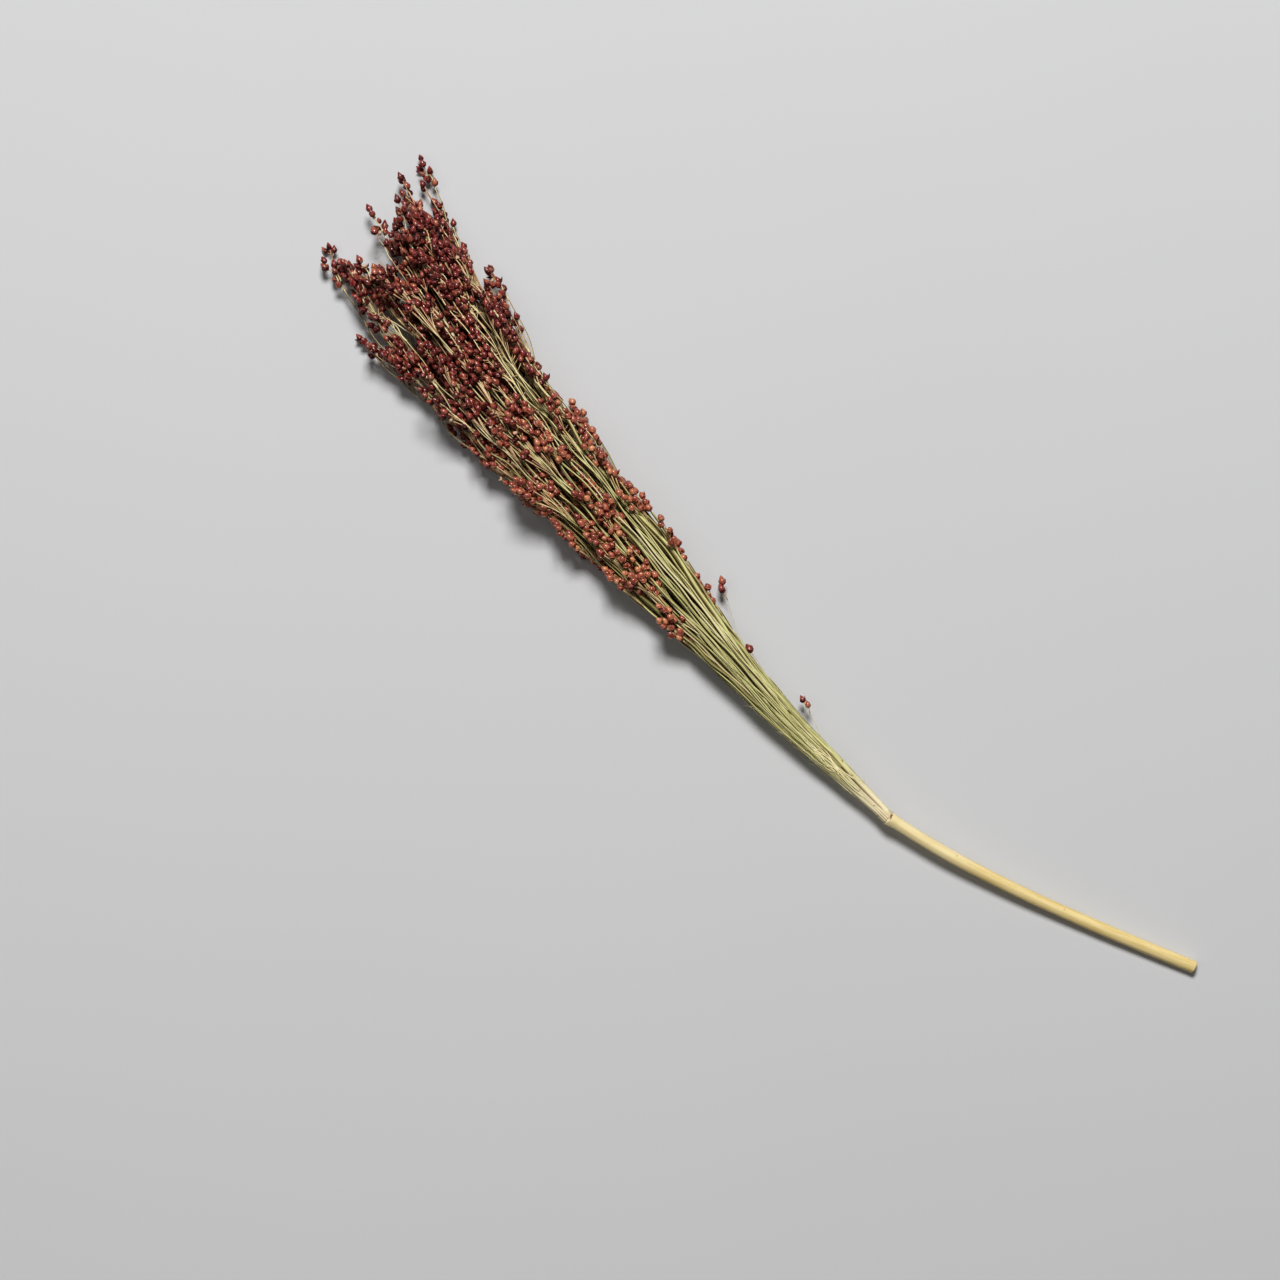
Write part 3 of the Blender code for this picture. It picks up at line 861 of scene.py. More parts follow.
def make_piece(name, points, faces, material, slot, **attributes):
    """A mesh object at the origin from points in the plan's millimetres, with its attributes."""
    points = (points.reshape(-1, 3) - BOX_MIDDLE) * MM
    mesh = bpy.data.meshes.new(name)
    mesh.vertices.add(len(points))
    mesh.vertices.foreach_set("co", points.astype(np.float32).ravel())
    corners = np.concatenate([rows.ravel() for rows in faces])
    sizes = np.concatenate([np.full(len(rows), rows.shape[1]) for rows in faces])
    mesh.loops.add(len(corners))
    mesh.loops.foreach_set("vertex_index", corners.astype(np.int32))
    mesh.polygons.add(len(sizes))
    mesh.polygons.foreach_set("loop_start", (np.cumsum(sizes) - sizes).astype(np.int32))
    mesh.update(calc_edges=True)
    if mesh.validate():
        raise RuntimeError(f"{name} has faces that aren't right")
    for key, values in attributes.items():
        values = np.asarray(values, dtype=np.float32)
        kind, part = ("FLOAT_VECTOR", "vector") if values.size == 3 * len(points) else ("FLOAT", "value")
        mesh.attributes.new(key, kind, "POINT").data.foreach_set(part, values.ravel())
    mesh.shade_smooth()
    mesh.materials.append(material)
    piece = bpy.data.objects.new(name, mesh)
    bpy.context.scene.collection.objects.link(piece)
    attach(piece, "root")
    return piece


# Materials

class Finish:
    """A material with a Principled shader, and short ways to add the nodes that feed it."""

    def __init__(self, name, roughness, specular=0.4):
        self.material = bpy.data.materials.new(name)
        self.material.use_nodes = True
        self.tree = self.material.node_tree
        self.shader = self.tree.nodes["Principled BSDF"]
        self.shader.inputs["Roughness"].default_value = roughness
        self.shader.inputs["Specular IOR Level"].default_value = specular

    def feed(self, socket, value):
        if hasattr(value, "is_output"):
            self.tree.links.new(value, socket)
        elif hasattr(value, "__len__") and len(value) == 3 and len(socket.default_value) == 4:
            socket.default_value = (*value, 1.0)
        else:
            socket.default_value = value

    def attribute(self, name, output="Fac"):
        node = self.tree.nodes.new("ShaderNodeAttribute")
        node.attribute_name = name
        return node.outputs[output]

    def place(self):
        return self.tree.nodes.new("ShaderNodeTexCoord").outputs["Object"]

    def plan_x(self):
        """Distance from the cut end of the stalk, in the plan's millimetres."""
        parts = self.tree.nodes.new("ShaderNodeSeparateXYZ")
        self.feed(parts.inputs[0], self.place())
        metres = self.maths("DIVIDE", parts.outputs["X"], MM)
        return self.maths("ADD", metres, float(BOX_MIDDLE[0]))

    def maths(self, operation, one, two=0.0):
        node = self.tree.nodes.new("ShaderNodeMath")
        node.operation = operation
        self.feed(node.inputs[0], one)
        self.feed(node.inputs[1], two)
        return node.outputs[0]

    def between(self, value, low, high, to_low=0.0, to_high=1.0):
        node = self.tree.nodes.new("ShaderNodeMapRange")
        node.interpolation_type = "SMOOTHSTEP"
        self.feed(node.inputs["Value"], value)
        node.inputs["From Min"].default_value = low
        node.inputs["From Max"].default_value = high
        node.inputs["To Min"].default_value = to_low
        node.inputs["To Max"].default_value = to_high
        return node.outputs["Result"]

    def noise(self, vector, scale, detail=2.0):
        node = self.tree.nodes.new("ShaderNodeTexNoise")
        self.feed(node.inputs["Vector"], vector)
        node.inputs["Scale"].default_value = scale
        node.inputs["Detail"].default_value = detail
        return node.outputs["Fac"]

    def mix(self, share, one, two):
        node = self.tree.nodes.new("ShaderNodeMix")
        node.data_type = "RGBA"
        self.feed(node.inputs["Factor"], share)
        self.feed(node.inputs[6], one)
        self.feed(node.inputs[7], two)
        return node.outputs[2]

    def speckle(self, scale, detail=2.0):
        """Noise over the piece's place in the object."""
        return self.noise(self.place(), scale, detail)

    def tint(self, colour, other, value, *reach):
        """Mix another colour in as value goes through its reach."""
        return self.mix(self.between(value, *reach), colour, other)

    def colour(self, value):
        self.feed(self.shader.inputs["Base Color"], value)

    def roughness(self, value):
        self.feed(self.shader.inputs["Roughness"], value)

    def bump(self, height, distance, strength):
        node = self.tree.nodes.new("ShaderNodeBump")
        node.inputs["Distance"].default_value = distance
        node.inputs["Strength"].default_value = strength
        self.feed(node.inputs["Height"], height)
        self.feed(self.shader.inputs["Normal"], node.outputs["Normal"])


def stalk_finish(colours):
    """Satin straw yellow with long faint streaks, greener and paler to the node, white pith at the cut."""
    finish = Finish("dry_stalk", 0.42, 0.3)
    fibre = finish.attribute("fibre", "Vector")
    streaks = finish.noise(fibre, 2.6, 4.0)
    fine = finish.noise(fibre, 11.0, 3.0)
    colour = finish.tint(colours.stalk, colours.stalk_streak, streaks, 0.35, 0.7)
    colour = finish.tint(colour, colours.cream, fine, 0.45, 0.75, 0.0, 0.35)
    patches = finish.speckle(45.0, 3.0)
    to_node = finish.between(finish.plan_x(), 95.0, 165.0)
    pale = finish.maths("MULTIPLY", to_node, finish.between(patches, 0.3, 0.7, 0.35, 0.8))
    colour = finish.mix(pale, colour, colours.cream)
    colour = finish.tint(colour, colours.node, finish.speckle(260.0), 0.70, 0.78, 0.0, 0.35)
    pith = finish.tint(colours.stalk, colours.pith, finish.speckle(2600.0, 3.0), 0.35, 0.65)
    colour = finish.mix(finish.attribute("cut"), colour, pith)
    finish.colour(colour)
    finish.roughness(finish.between(streaks, 0.2, 0.8, 0.36, 0.52))
    finish.bump(fine, 0.0002, 0.35)
    return finish.material


def ring_finish(colours):
    """Cream as the foot of the bundle, and brown along a part where the stalk's node has dried."""
    finish = Finish("dried_node", 0.75)
    patches = finish.speckle(190.0, 3.0)
    finish.colour(finish.tint(colours.node, colours.cream, patches, 0.46, 0.6))
    finish.bump(patches, 0.0003, 0.5)
    return finish.material


def straw_colour(finish, colours):
    """Cream at the node, green with olive grooves, tan between the grains; painted shade among the straws.
    """
    fibre = finish.attribute("fibre", "Vector")
    x = finish.plan_x()
    streaks = finish.noise(fibre, 2.2, 4.0)
    fine = finish.noise(fibre, 8.0, 3.0)
    tone = finish.attribute("tone")
    colour = finish.tint(colours.green, colours.olive, streaks, 0.42, 0.68, 0.0, 0.8)
    colour = finish.tint(colour, colours.cream, fine, 0.5, 0.75, 0.0, 0.4)
    colour = finish.tint(colour, colours.cream, tone, 0.55, 1.0, 0.0, 0.6)
    colour = finish.tint(colour, colours.olive, tone, 0.35, 0.0, 0.0, 0.35)
    colour = finish.tint(colour, colours.tan, x, 370.0, 510.0, 0.0, 0.8)
    colour = finish.tint(colour, colours.cream, x, 174.0, 212.0, 1.0, 0.0)
    away = finish.between(x, 172.0, 190.0, 0.15, 0.85)
    # Painted shade: straws deep in the bundle and the foot go near-black olive away from the node, partly
    # their own darker colour
    painted_shade = finish.maths("MULTIPLY", finish.attribute("deep"), away)
    colour = finish.mix(painted_shade, colour, colours.painted_shade)
    # Painted shade along each straw's sides, between neighbours; near the node these lines are the straws'
    # own pinkish-brown marks
    side_line_and_shade = finish.between(finish.attribute("edge"), 0.55, 0.95, 0.0, 0.95)
    side_line_and_shade_colour = finish.mix(away, colours.terracotta, colours.painted_shade)
    side_line_and_shade = finish.maths("MULTIPLY", side_line_and_shade, finish.between(x, 168.0, 200.0, 0.45, 1.0))
    colour = finish.mix(side_line_and_shade, colour, side_line_and_shade_colour)
    specks = finish.between(finish.speckle(420.0), 0.66, 0.72)
    near_node = finish.between(x, 200.0, 230.0, 0.75, 0.1)
    colour = finish.mix(finish.maths("MULTIPLY", specks, near_node), colour, colours.node)
    return colour, streaks, fine


def straw_finish(colours):
    """Dry green straw: streaks along it from the piece's own fibre attribute."""
    finish = Finish("green_straw", 0.5, 0.1)
    colour, streaks, fine = straw_colour(finish, colours)
    finish.colour(colour)
    finish.roughness(finish.between(streaks, 0.2, 0.8, 0.42, 0.62))
    finish.bump(finish.maths("ADD", streaks, fine), 0.00025, 0.4)
    return finish.material


def stem_finish(colours):
    """Thin stems between the grains: green-tan low down, pale tan and reddish towards the tips."""
    finish = Finish("grain_stem", 0.55, 0.2)
    colour = finish.tint(colours.green, colours.tan, finish.plan_x(), 330.0, 480.0)
    colour = finish.tint(colour, colours.cream, finish.attribute("tone"), 0.4, 1.0, 0.0, 0.7)
    colour = finish.tint(colour, colours.terracotta, finish.attribute("along"), 0.45, 1.0, 0.0, 0.75)
    patches = finish.speckle(500.0)
    colour = finish.tint(colour, colours.olive, patches, 0.5, 0.75, 0.0, 0.4)
    finish.colour(colour)
    finish.bump(patches, 0.0002, 0.3)
    return finish.material


def grain_finish(colours):
    """Satin grain skin: terracotta to maroon by ripeness, mottled, with a small dark spot at its tip."""
    finish = Finish("grain_skin", 0.24, 0.65)
    ripe = finish.attribute("ripe")
    tone = finish.attribute("tone")
    along = finish.attribute("along")
    mottle = finish.speckle(620.0, 3.0)
    share = finish.maths("ADD", ripe, finish.between(mottle, 0.3, 0.7, -0.25, 0.25))
    colour = finish.tint(colours.terracotta, colours.maroon, share, 0.0, 1.0)
    unripe = finish.between(ripe, 0.2, 1.0, 0.9, 0.1)
    light = finish.maths("MULTIPLY", finish.between(tone, 0.72, 0.97), unripe)
    colour = finish.tint(colour, colours.terracotta, tone, 0.6, 0.9, 0.0, 0.35)
    colour = finish.mix(light, colour, colours.amber)
    dark = finish.mix(ripe, colours.husk_red, colours.husk)
    colour = finish.tint(colour, dark, tone, 0.5, 0.0, 0.0, 0.85)
    colour = finish.tint(colour, colours.maroon, finish.speckle(330.0), 0.5, 0.68, 0.0, 0.6)
    # Light pink patches: partly a dusty bloom, partly a painted pinkish highlight
    colour = finish.tint(colour, colours.bloom_and_sheen, finish.speckle(850.0), 0.5, 0.66, 0.0, 0.4)
    fine = finish.speckle(2400.0)
    colour = finish.tint(colour, colours.amber, fine, 0.5, 0.8, 0.0, 0.3)
    colour = finish.tint(colour, colours.husk, along, 0.5, 0.2, 0.0, 0.7)
    colour = finish.tint(colour, colours.husk, along, 0.9, 0.99, 0.0, 0.8)
    finish.colour(colour)
    finish.roughness(finish.between(mottle, 0.3, 0.7, 0.17, 0.3))
    finish.bump(finish.maths("ADD", mottle, fine), 0.0001, 0.25)
    return finish.material


def husk_finish(colours):
    """Dry papery husk round a grain's foot: red with dry edges low in the head, near black at the tip."""
    finish = Finish("grain_husk", 0.3, 0.35)
    ripe = finish.attribute("ripe")
    tone = finish.attribute("tone")
    veins = finish.noise(finish.attribute("fibre", "Vector"), 3.0, 2.0)
    colour = finish.tint(colours.husk_red, colours.husk, ripe, 0.25, 1.0)
    colour = finish.tint(colour, colours.maroon, veins, 0.5, 0.7, 0.0, 0.35)
    dry = finish.between(ripe, 0.2, 0.9, 0.75, 0.2)
    rim = finish.maths("MULTIPLY", finish.between(finish.attribute("rim"), 0.6, 1.0), dry)
    colour = finish.mix(rim, colour, colours.husk_edge)
    colour = finish.tint(colour, colours.husk_edge, tone, 0.84, 0.97, 0.0, 0.5)
    colour = finish.mix(finish.attribute("empty"), colour, colours.empty)
    finish.colour(colour)
    finish.bump(veins, 0.0001, 0.3)
    return finish.material


def fibre_finish(colours):
    """Pale dry fibre."""
    finish = Finish("dry_fibre", 0.6)
    finish.colour(finish.tint(colours.cream, colours.tan, finish.speckle(300.0), 0.35, 0.65))
    return finish.material


def floor_finish(colours):
    """Matt pale floor."""
    finish = Finish("pale_floor", 0.9, 0.1)
    darker = [0.97 * part for part in colours.floor]
    finish.colour(finish.mix(finish.speckle(3.0), colours.floor, darker))
    return finish.material


# Shapes

def stalk_shape(sizes):
    """The stalk: a round profile with faint ridges along its line, swollen at the node, its cut end worn.

    Radius = half thickness, eased up to the node's, times 1 + ridges * cos(7a + slow turn).
    """
    sides = STALK_SIDES
    end = NODE_X - 0.05
    x = np.concatenate([np.linspace(0.0, 1.2, 6), np.linspace(2.5, end - NODE_SWELL, 96)])
    x = np.concatenate([x, end - NODE_SWELL * np.linspace(0.92, 0.0, 12)])
    path = np.column_stack([x, smooth(STALK_LINE, x)])
    directions = runs(path)
    directions[-1] = unit(np.array(NODE_RUN))
    half = 0.5 * sizes.thickness / MM
    radii = half + (NODE_RADIUS - half) * ease((x - end + NODE_SWELL) / NODE_SWELL)
    radii *= 1.0 + 0.012 * np.sin(x / 17.0) + 0.008 * np.sin(x / 6.3)
    radii[:4] *= np.array((0.955, 0.985, 0.996, 1.0))
    side = unit(np.cross(UP, directions))
    above = np.cross(directions, side)
    angles = ring_angles(sides)
    ridge = sizes.fluting / MM * np.cos(7.0 * angles + x[:, None] / 60.0)
    around = np.cos(angles)[None, :, None] * side[:, None] + np.sin(angles)[None, :, None] * above[:, None]
    shaft = path[:, None] + (radii[:, None] + ridge)[..., None] * around
    inward = []
    for share, depth in CUT_RINGS:
        uneven = 0.12 * np.cos(3.0 * angles + 5.0 * share) + 0.07 * np.cos(8.0 * angles + 9.0 * share)
        ring = path[0] + share * radii[0] * around[0]
        inward.append(ring + (depth + uneven)[:, None] * directions[0])
    rings = np.concatenate([np.array(inward[::-1]), shaft])
    points = np.concatenate([rings.reshape(-1, 3), path[:1] + 0.2 * directions[:1], path[-1:]])
    cut = np.concatenate([np.ones(len(inward)), np.zeros(len(shaft))])
    cut = np.concatenate([np.repeat(cut, sides), (1.0, 0.0)])
    fibres = np.empty((len(rings), sides, 3))
    fibres[..., 0] = np.cos(angles)
    fibres[..., 1] = np.sin(angles)
    fibres[..., 2] = np.concatenate([np.zeros(len(inward)), x])[:, None] / 45.0
    fibres = np.concatenate([fibres.reshape(-1, 3), np.zeros((2, 3))])
    return points, tube_faces(1, len(rings), sides), cut, fibres


def node_ring_shape():
    """A thin uneven band over the joint of stalk and head: a short tube with a rounded back."""
    sides = NODE_RING_SIDES
    from_node, proud = np.array(NODE_RING).T
    x = NODE_X + from_node
    centre = np.array((NODE_X, *smooth(BUNDLE, NODE_X)[0][:2]))
    run = unit(np.array(NODE_RUN))
    path = centre + (x - NODE_X)[:, None] * run
    side = unit(np.cross(UP, run))
    above = np.cross(run, side)
    angles = ring_angles(sides)
    swell = NODE_RADIUS + proud[:, None]
    swell = swell + 0.07 * np.cos(5.0 * angles + 1.0) + 0.05 * np.cos(11.0 * angles)
    around = np.cos(angles)[:, None] * side + np.sin(angles)[:, None] * above
    wander = 0.18 * np.cos(2.0 * angles + 0.6) + 0.08 * np.cos(6.0 * angles)
    rings = path[:, None] + swell[..., None] * around + wander[:, None] * run
    points = np.concatenate([rings.reshape(-1, 3), path[:1], path[-1:]])
    return points, tube_faces(1, len(x), sides)


def foot_shape():
    """The closed foot of the bundle: the bundle's own oval times a shrinking share, with shallow flutes.

    Its edge attribute is 1 along the bottom of each flute and 0 on the ridges between them.
    """
    sides = FOOT_SIDES
    x = np.linspace(FOOT[0][0], FOOT[-1][0], FOOT_STATIONS)
    form = smooth(BUNDLE, x)
    share = smooth(FOOT, x)[:, 0]
    path = np.column_stack([x, form[:, :2]])[None]
    angles = ring_angles(sides)
    wide = (form[:, 2] * share)[None]
    high = (form[:, 3] * share)[None]
    points = tube_points(path, wide, high, sides, UP, FOOT_FLUTE_DEPTH, FOOT_FLUTES)
    # The straws' finish paints shade down the bottoms of these flutes, and pinkish-brown lines near the node
    flutes = 0.5 - 0.5 * np.cos(FOOT_FLUTES * angles)
    edge = np.concatenate([np.tile(flutes, len(x)), (0.0, 0.0)])
    return points, tube_faces(1, len(x), sides), path, edge


def strands_shape(rng):
    """Thin strands on the skin of the bundle's lower part, which cross each other a little.

    A strand follows the bundle's oval at an angle that drifts slowly and waves. It stands a little proud
    of the oval, less a * (2t - 1)^6, so that both its ends sink in.
    """
    t = np.linspace(0.0, 1.0, STRAND_STATIONS)
    lines = []
    for _ in range(STRANDS):
        x = rng.uniform(*STRAND_START) + rng.uniform(*STRAND_LENGTH) * t
        form = smooth(BUNDLE, x)
        wave = 0.07 * np.sin(2.0 * math.pi * (rng.uniform(1.0, 3.0) * t + rng.random()))
        angle = rng.uniform(0.0, 2.0 * math.pi) + rng.uniform(-0.3, 0.3) * t + wave
        proud = rng.uniform(0.3, 0.95) - 1.6 * (2.0 * t - 1.0) ** 6
        y = form[:, 0] + (form[:, 2] + proud) * np.cos(angle)
        z = form[:, 1] + (form[:, 3] + proud) * np.sin(angle)
        lines.append(np.column_stack([x, y, z]))
    lines = np.array(lines)
    half = rng.uniform(*STRAND_HALF, (STRANDS, 1)) * (1.0 - 0.5 * (2.0 * t - 1.0) ** 8)[None]
    points = tube_points(lines, half, half, STRAND_SIDES, UP)
    fibres = tube_fibres(lines, STRAND_SIDES, rng, FIBRE_STRETCH)
    edge = tube_edges(STRANDS, STRAND_STATIONS, STRAND_SIDES)
    return points, tube_faces(STRANDS, STRAND_STATIONS, STRAND_SIDES), fibres, edge


def tube_edges(count, stations, sides):
    """For every point of some tubes, how near it is to the tube's side: |cos a| round it."""
    around = np.abs(np.cos(ring_angles(sides)))
    return np.tile(np.concatenate([np.tile(around, stations), (0.5, 0.5)]), count)


def straws_shape(paths, sizes, rng):
    """Every straw as a grooved oval tube, flatter near the node and round further on, and one thick one."""
    count, stations = paths.shape[:2]
    x = paths[..., 0]
    form = smooth(BUNDLE, x.ravel()).reshape(count, stations, 4)
    outward = np.zeros((count, stations, 3))
    outward[..., 1] = (paths[..., 1] - form[..., 0]) / form[..., 2]
    outward[..., 2] = (paths[..., 2] - form[..., 1]) / form[..., 3] + 0.05
    outward[:] = outward[:, stations // 4][:, None]
    taper_x, taper = np.array(STRAW_TAPER).T
    lane = np.linalg.norm(outward[:, 0, 1:], axis=1)
    own = rng.uniform(*STRAW_SHARE, count) + 0.2 * ease((lane - 0.5) / 0.4)
    solid_straws = len(OUTLINE_TIPS) + MIDDLE_STRAWS + len(REST_STRAWS)
    own[solid_straws + THICK_STRAW] = THICK_STRAW_SHARE
    # Amount of painted shade for each straw: full deep inside the bundle, none at its outside
    deep = 1.0 - ease((lane - 0.35) / 0.45)
    half = 0.5 * sizes.thickness / MM * np.interp(x, taper_x, taper) * own[:, None]
    flat = 0.4 * (1.0 - ease((x - 190.0) / 60.0))
    start = 0.7 + 0.3 * ease((x - NODE_X) / 25.0)
    wide = half * (1.0 + 0.8 * flat) * start
    high = half * (1.0 - 0.5 * flat) * start
    paths = paths.copy()
    paths[..., 2] = np.maximum(paths[..., 2], np.maximum(wide, high) + 0.02)
    points = tube_points(paths, wide, high, STRAW_SIDES, outward, STRAW_GROOVE_DEPTH, STRAW_GROOVES)
    fibres = tube_fibres(paths, STRAW_SIDES, rng, FIBRE_STRETCH)
    # The edge attribute drives the painted shade along each straw's sides
    edge = tube_edges(count, stations, STRAW_SIDES)
    return points, tube_faces(count, stations, STRAW_SIDES), fibres, per_point(deep, points), edge


def stem_lines(strings, paths):
    """Each string's stem: a long narrow fork that leaves its straw some way before the string's root.

    A cubic from a point back along the straw to the last grain's foot, with the straw's own direction at
    its start. A string at a straw's tip starts on the straw's end.
    """
    straws = paths.reshape(-1, 3)
    straw_runs = runs(paths).reshape(-1, 3)
    t = np.linspace(0.0, 1.0, STEM_STATIONS)[:, None]
    lines = []
    for k, (root, tip, grains) in enumerate(strings):
        nearest = int(np.argmin(((straws - root) ** 2).sum(axis=1)))
        on_straw = nearest % STRAW_STATIONS
        if STEM_BACK[1] < on_straw < STRAW_STATIONS - 2:
            nearest -= STEM_BACK[0] + k % (STEM_BACK[1] - STEM_BACK[0])
        start = straws[nearest]
        run = unit(tip - root)
        foot = tip - run * GRAIN_PITCH
        reach = np.linalg.norm(foot - start)
        line = (2 * t**3 - 3 * t**2 + 1) * start + (t**3 - 2 * t**2 + t) * reach * straw_runs[nearest]
        line = line + (3 * t**2 - 2 * t**3) * foot + (t**3 - t**2) * 0.9 * reach * run
        lines.append(line)
    return np.array(lines)


def stems_shape(strings, paths, sizes, rng):
    """Tapering stems, with a slow wave along each that dies out at both its ends."""
    lines = stem_lines(strings, paths)
    count = len(lines)
    t = np.linspace(0.0, 1.0, STEM_STATIONS)
    held = np.sin(math.pi * t)[None]
    for axis in (1, 2):
        turn = rng.uniform(0.0, 1.0, (count, 1))
        size = rng.uniform(0.2, 0.9, (count, 1))
        lines[..., axis] += size * held * np.sin(2.0 * math.pi * (1.3 * t[None] + turn))
    own = rng.uniform(0.7, 1.1, (count, 1))
    own[[grains < 3 for root, tip, grains in strings]] = LONE_STEM_SHARE
    radii = 0.5 * sizes.stem / MM * (1.0 - 0.5 * t)[None] * own
    lines[..., 2] = np.maximum(lines[..., 2], radii + 0.05)
    points = tube_points(lines, radii, radii, STEM_SIDES, UP)
    along = ring_values(t, STEM_SIDES, count)
    return lines, points, tube_faces(count, STEM_STATIONS, STEM_SIDES), along


def grain_feet(strings, lines, owner, places):
    """For each grain, the point of its stem that it grows from, and the direction in which it points."""
    roots = np.array([string[0] for string in strings])[owner]
    tips = np.array([string[1] for string in strings])[owner]
    string_runs = unit(tips - roots)
    along = ((places - roots) * string_runs).sum(axis=1)
    reach = np.linalg.norm(tips - roots, axis=1) - GRAIN_PITCH
    t = np.clip((along - 3.0) / reach, 0.05, 1.0) * (STEM_STATIONS - 1)
    i = np.minimum(t.astype(int), STEM_STATIONS - 2)
    part = (t - i)[:, None]
    feet = lines[owner, i] * (1.0 - part) + lines[owner, i + 1] * part
    axes = unit(places - feet) + 0.75 * string_runs
    lowest = -ease((places[:, 2] - 2.0 * GRAIN_RADIUS) / GRAIN_RADIUS)
    axes[:, 2] = np.maximum(axes[:, 2], lowest)
    return feet, unit(axes)


def square_to(axes):
    """Two directions square to each axis and to each other."""
    aside = np.where(np.abs(axes[:, 2:]) > 0.8, np.array((1.0, 0.0, 0.0)), UP)
    side = unit(np.cross(aside, axes))
    return side, np.cross(axes, side)


def grains_shape(places, axes, radii, ripe, rng):
    """Grains: height -cos(pi t) and radius sin(pi t) along their axis, drawn to a point as they ripen.

    The point lifts the height by t^3 and narrows the radius by t^2.
    """
    count = len(places)
    t = np.arange(1, GRAIN_RINGS + 1) / (GRAIN_RINGS + 1)
    draw = (0.24 + 0.5 * ripe + rng.uniform(-0.12, 0.15, count))[:, None]
    flat = rng.uniform(0.86, 1.03, count)[:, None]
    height = -np.cos(math.pi * t)[None] * (1.0 + 0.12 * ripe[:, None]) + draw * t[None] ** 3
    width = np.sin(math.pi * t)[None] * (1.0 - draw * 0.45 * t[None] ** 2)
    side, above = square_to(axes)
    angles = ring_angles(GRAIN_SIDES)
    across = np.cos(angles)[None, :, None] * side[:, None] * flat[..., None]
    across = across + np.sin(angles)[None, :, None] * above[:, None]
    size = radii[:, None, None, None]
    rings = places[:, None, None] + size * height[..., None, None] * axes[:, None, None]
    rings = rings + size * width[..., None, None] * across[:, None]
    foot = places - radii[:, None] * axes
    top = places + radii[:, None] * axes * (1.0 + 0.12 * ripe[:, None] + draw)
    points = np.concatenate([rings.reshape(count, -1, 3), foot[:, None], top[:, None]], axis=1)
    return points, tube_faces(count, GRAIN_RINGS, GRAIN_SIDES), ring_values(t, GRAIN_SIDES, count)


def husks_shape(places, axes, radii, ripe, hollow, rng):
    """Husks: a thin cup with two pointed lobes round each grain's foot.

    Its rim lies at an angle from the foot of low + (high - low) * cos(a)^2, further up the riper the
    grain. The outer wall is a little wider than the grain, most of all at the lobes' ends, and the inner
    wall a little narrower.
    """
    count = len(places)
    side, above = square_to(axes)
    angles = ring_angles(HUSK_SIDES)
    turn = rng.uniform(0.0, math.pi, (count, 1))
    across = np.cos(angles[None] + turn)[..., None] * side[:, None]
    across = across + np.sin(angles[None] + turn)[..., None] * above[:, None]
    high = (0.57 + 0.2 * ripe + rng.uniform(-0.10, 0.10, count))[:, None] * math.pi
    low = 0.42 * high
    lobes = np.cos(angles)[None] ** 2
    rim = low + (high - low) * lobes
    size = radii[:, None]
    rings = []
    for i, (share, wall, flare) in enumerate(HUSK_WALLS):
        wall = np.where(hollow & (i == INNER_RIM), EMPTY_RIM, wall)[:, None] + flare * lobes
        lean = share * rim
        height = -np.cos(lean) * size * wall
        width = np.sin(lean) * size * wall
        rings.append(places[:, None] + height[..., None] * axes[:, None] + width[..., None] * across)
    rings = np.stack(rings, axis=1)
    foot = places - 1.1 * size * axes
    inner = places - 0.6 * size * axes
    points = np.concatenate([rings.reshape(count, -1, 3), foot[:, None], inner[:, None]], axis=1)
    walls = len(HUSK_WALLS)
    fibres = np.zeros((count, walls, HUSK_SIDES, 3))
    fibres[..., 0] = (2.0 * np.cos(angles))[None, None] + 9.0 * turn[..., None]
    fibres[..., 1] = (2.0 * np.sin(angles))[None, None]
    fibres[..., 2] = np.arange(walls)[None, :, None] * 0.2
    fibres = np.concatenate([fibres.reshape(count, -1, 3), fibres[:, 0, :2]], axis=1)
    edge = ring_values((0.0, 1.0, 1.0, 0.0), HUSK_SIDES, count, (0.0, 0.0))
    return points, tube_faces(count, walls, HUSK_SIDES), fibres, edge


def spikelets_shape(places, axes, radii, rng):
    """Narrow barren spikelets, each from the foot of a grain and leaning out beside it.

    They taper to both ends: the radius at t along them is their half width times sin(pi t^0.8).
    """
    count = len(places)
    side, above = square_to(axes)
    turn = rng.uniform(0.0, 2.0 * math.pi, (count, 1))
    out = np.cos(turn) * side + np.sin(turn) * above
    low = places[:, 2] < 3.0 * GRAIN_RADIUS
    out[low, 2] = np.abs(out[low, 2])
    size = radii[:, None]
    foot = places - 0.9 * size * axes + 0.5 * size * out
    run = unit(axes + rng.uniform(0.3, 0.8, (count, 1)) * out)
    length = size * rng.uniform(*SPIKELET_LENGTH, (count, 1))
    t = np.array(SPIKELET_RINGS)
    paths = foot[:, None] + t[None, :, None] * (length * run)[:, None]
    widths = rng.uniform(*SPIKELET_HALF, (count, 1)) * np.sin(math.pi * t**0.8)[None]
    outward = np.broadcast_to(out[:, None], paths.shape)
    points = tube_points(paths, widths, widths, SPIKELET_SIDES, outward)
    edge = ring_values(t, SPIKELET_SIDES, count)
    return points, tube_faces(count, len(t), SPIKELET_SIDES), edge


def stalks_to_grains(feet, places, axes, radii):
    """The short stalk of each grain: three rings from the string's stem to the grain's foot."""
    grain_foot = places - 0.85 * radii[:, None] * axes
    middle = 0.5 * (feet + grain_foot) - 0.25 * radii[:, None] * axes
    paths = np.stack([feet, 0.5 * (middle + 0.5 * (feet + grain_foot)), grain_foot], axis=1)
    widths = np.tile(GRAIN_STALK_HALF, (len(places), 1))
    outward = np.broadcast_to(square_to(axes)[0][:, None], paths.shape)
    points = tube_points(paths, widths, widths, THIN_SIDES, outward)
    return points, tube_faces(len(places), len(GRAIN_STALK_HALF), THIN_SIDES)


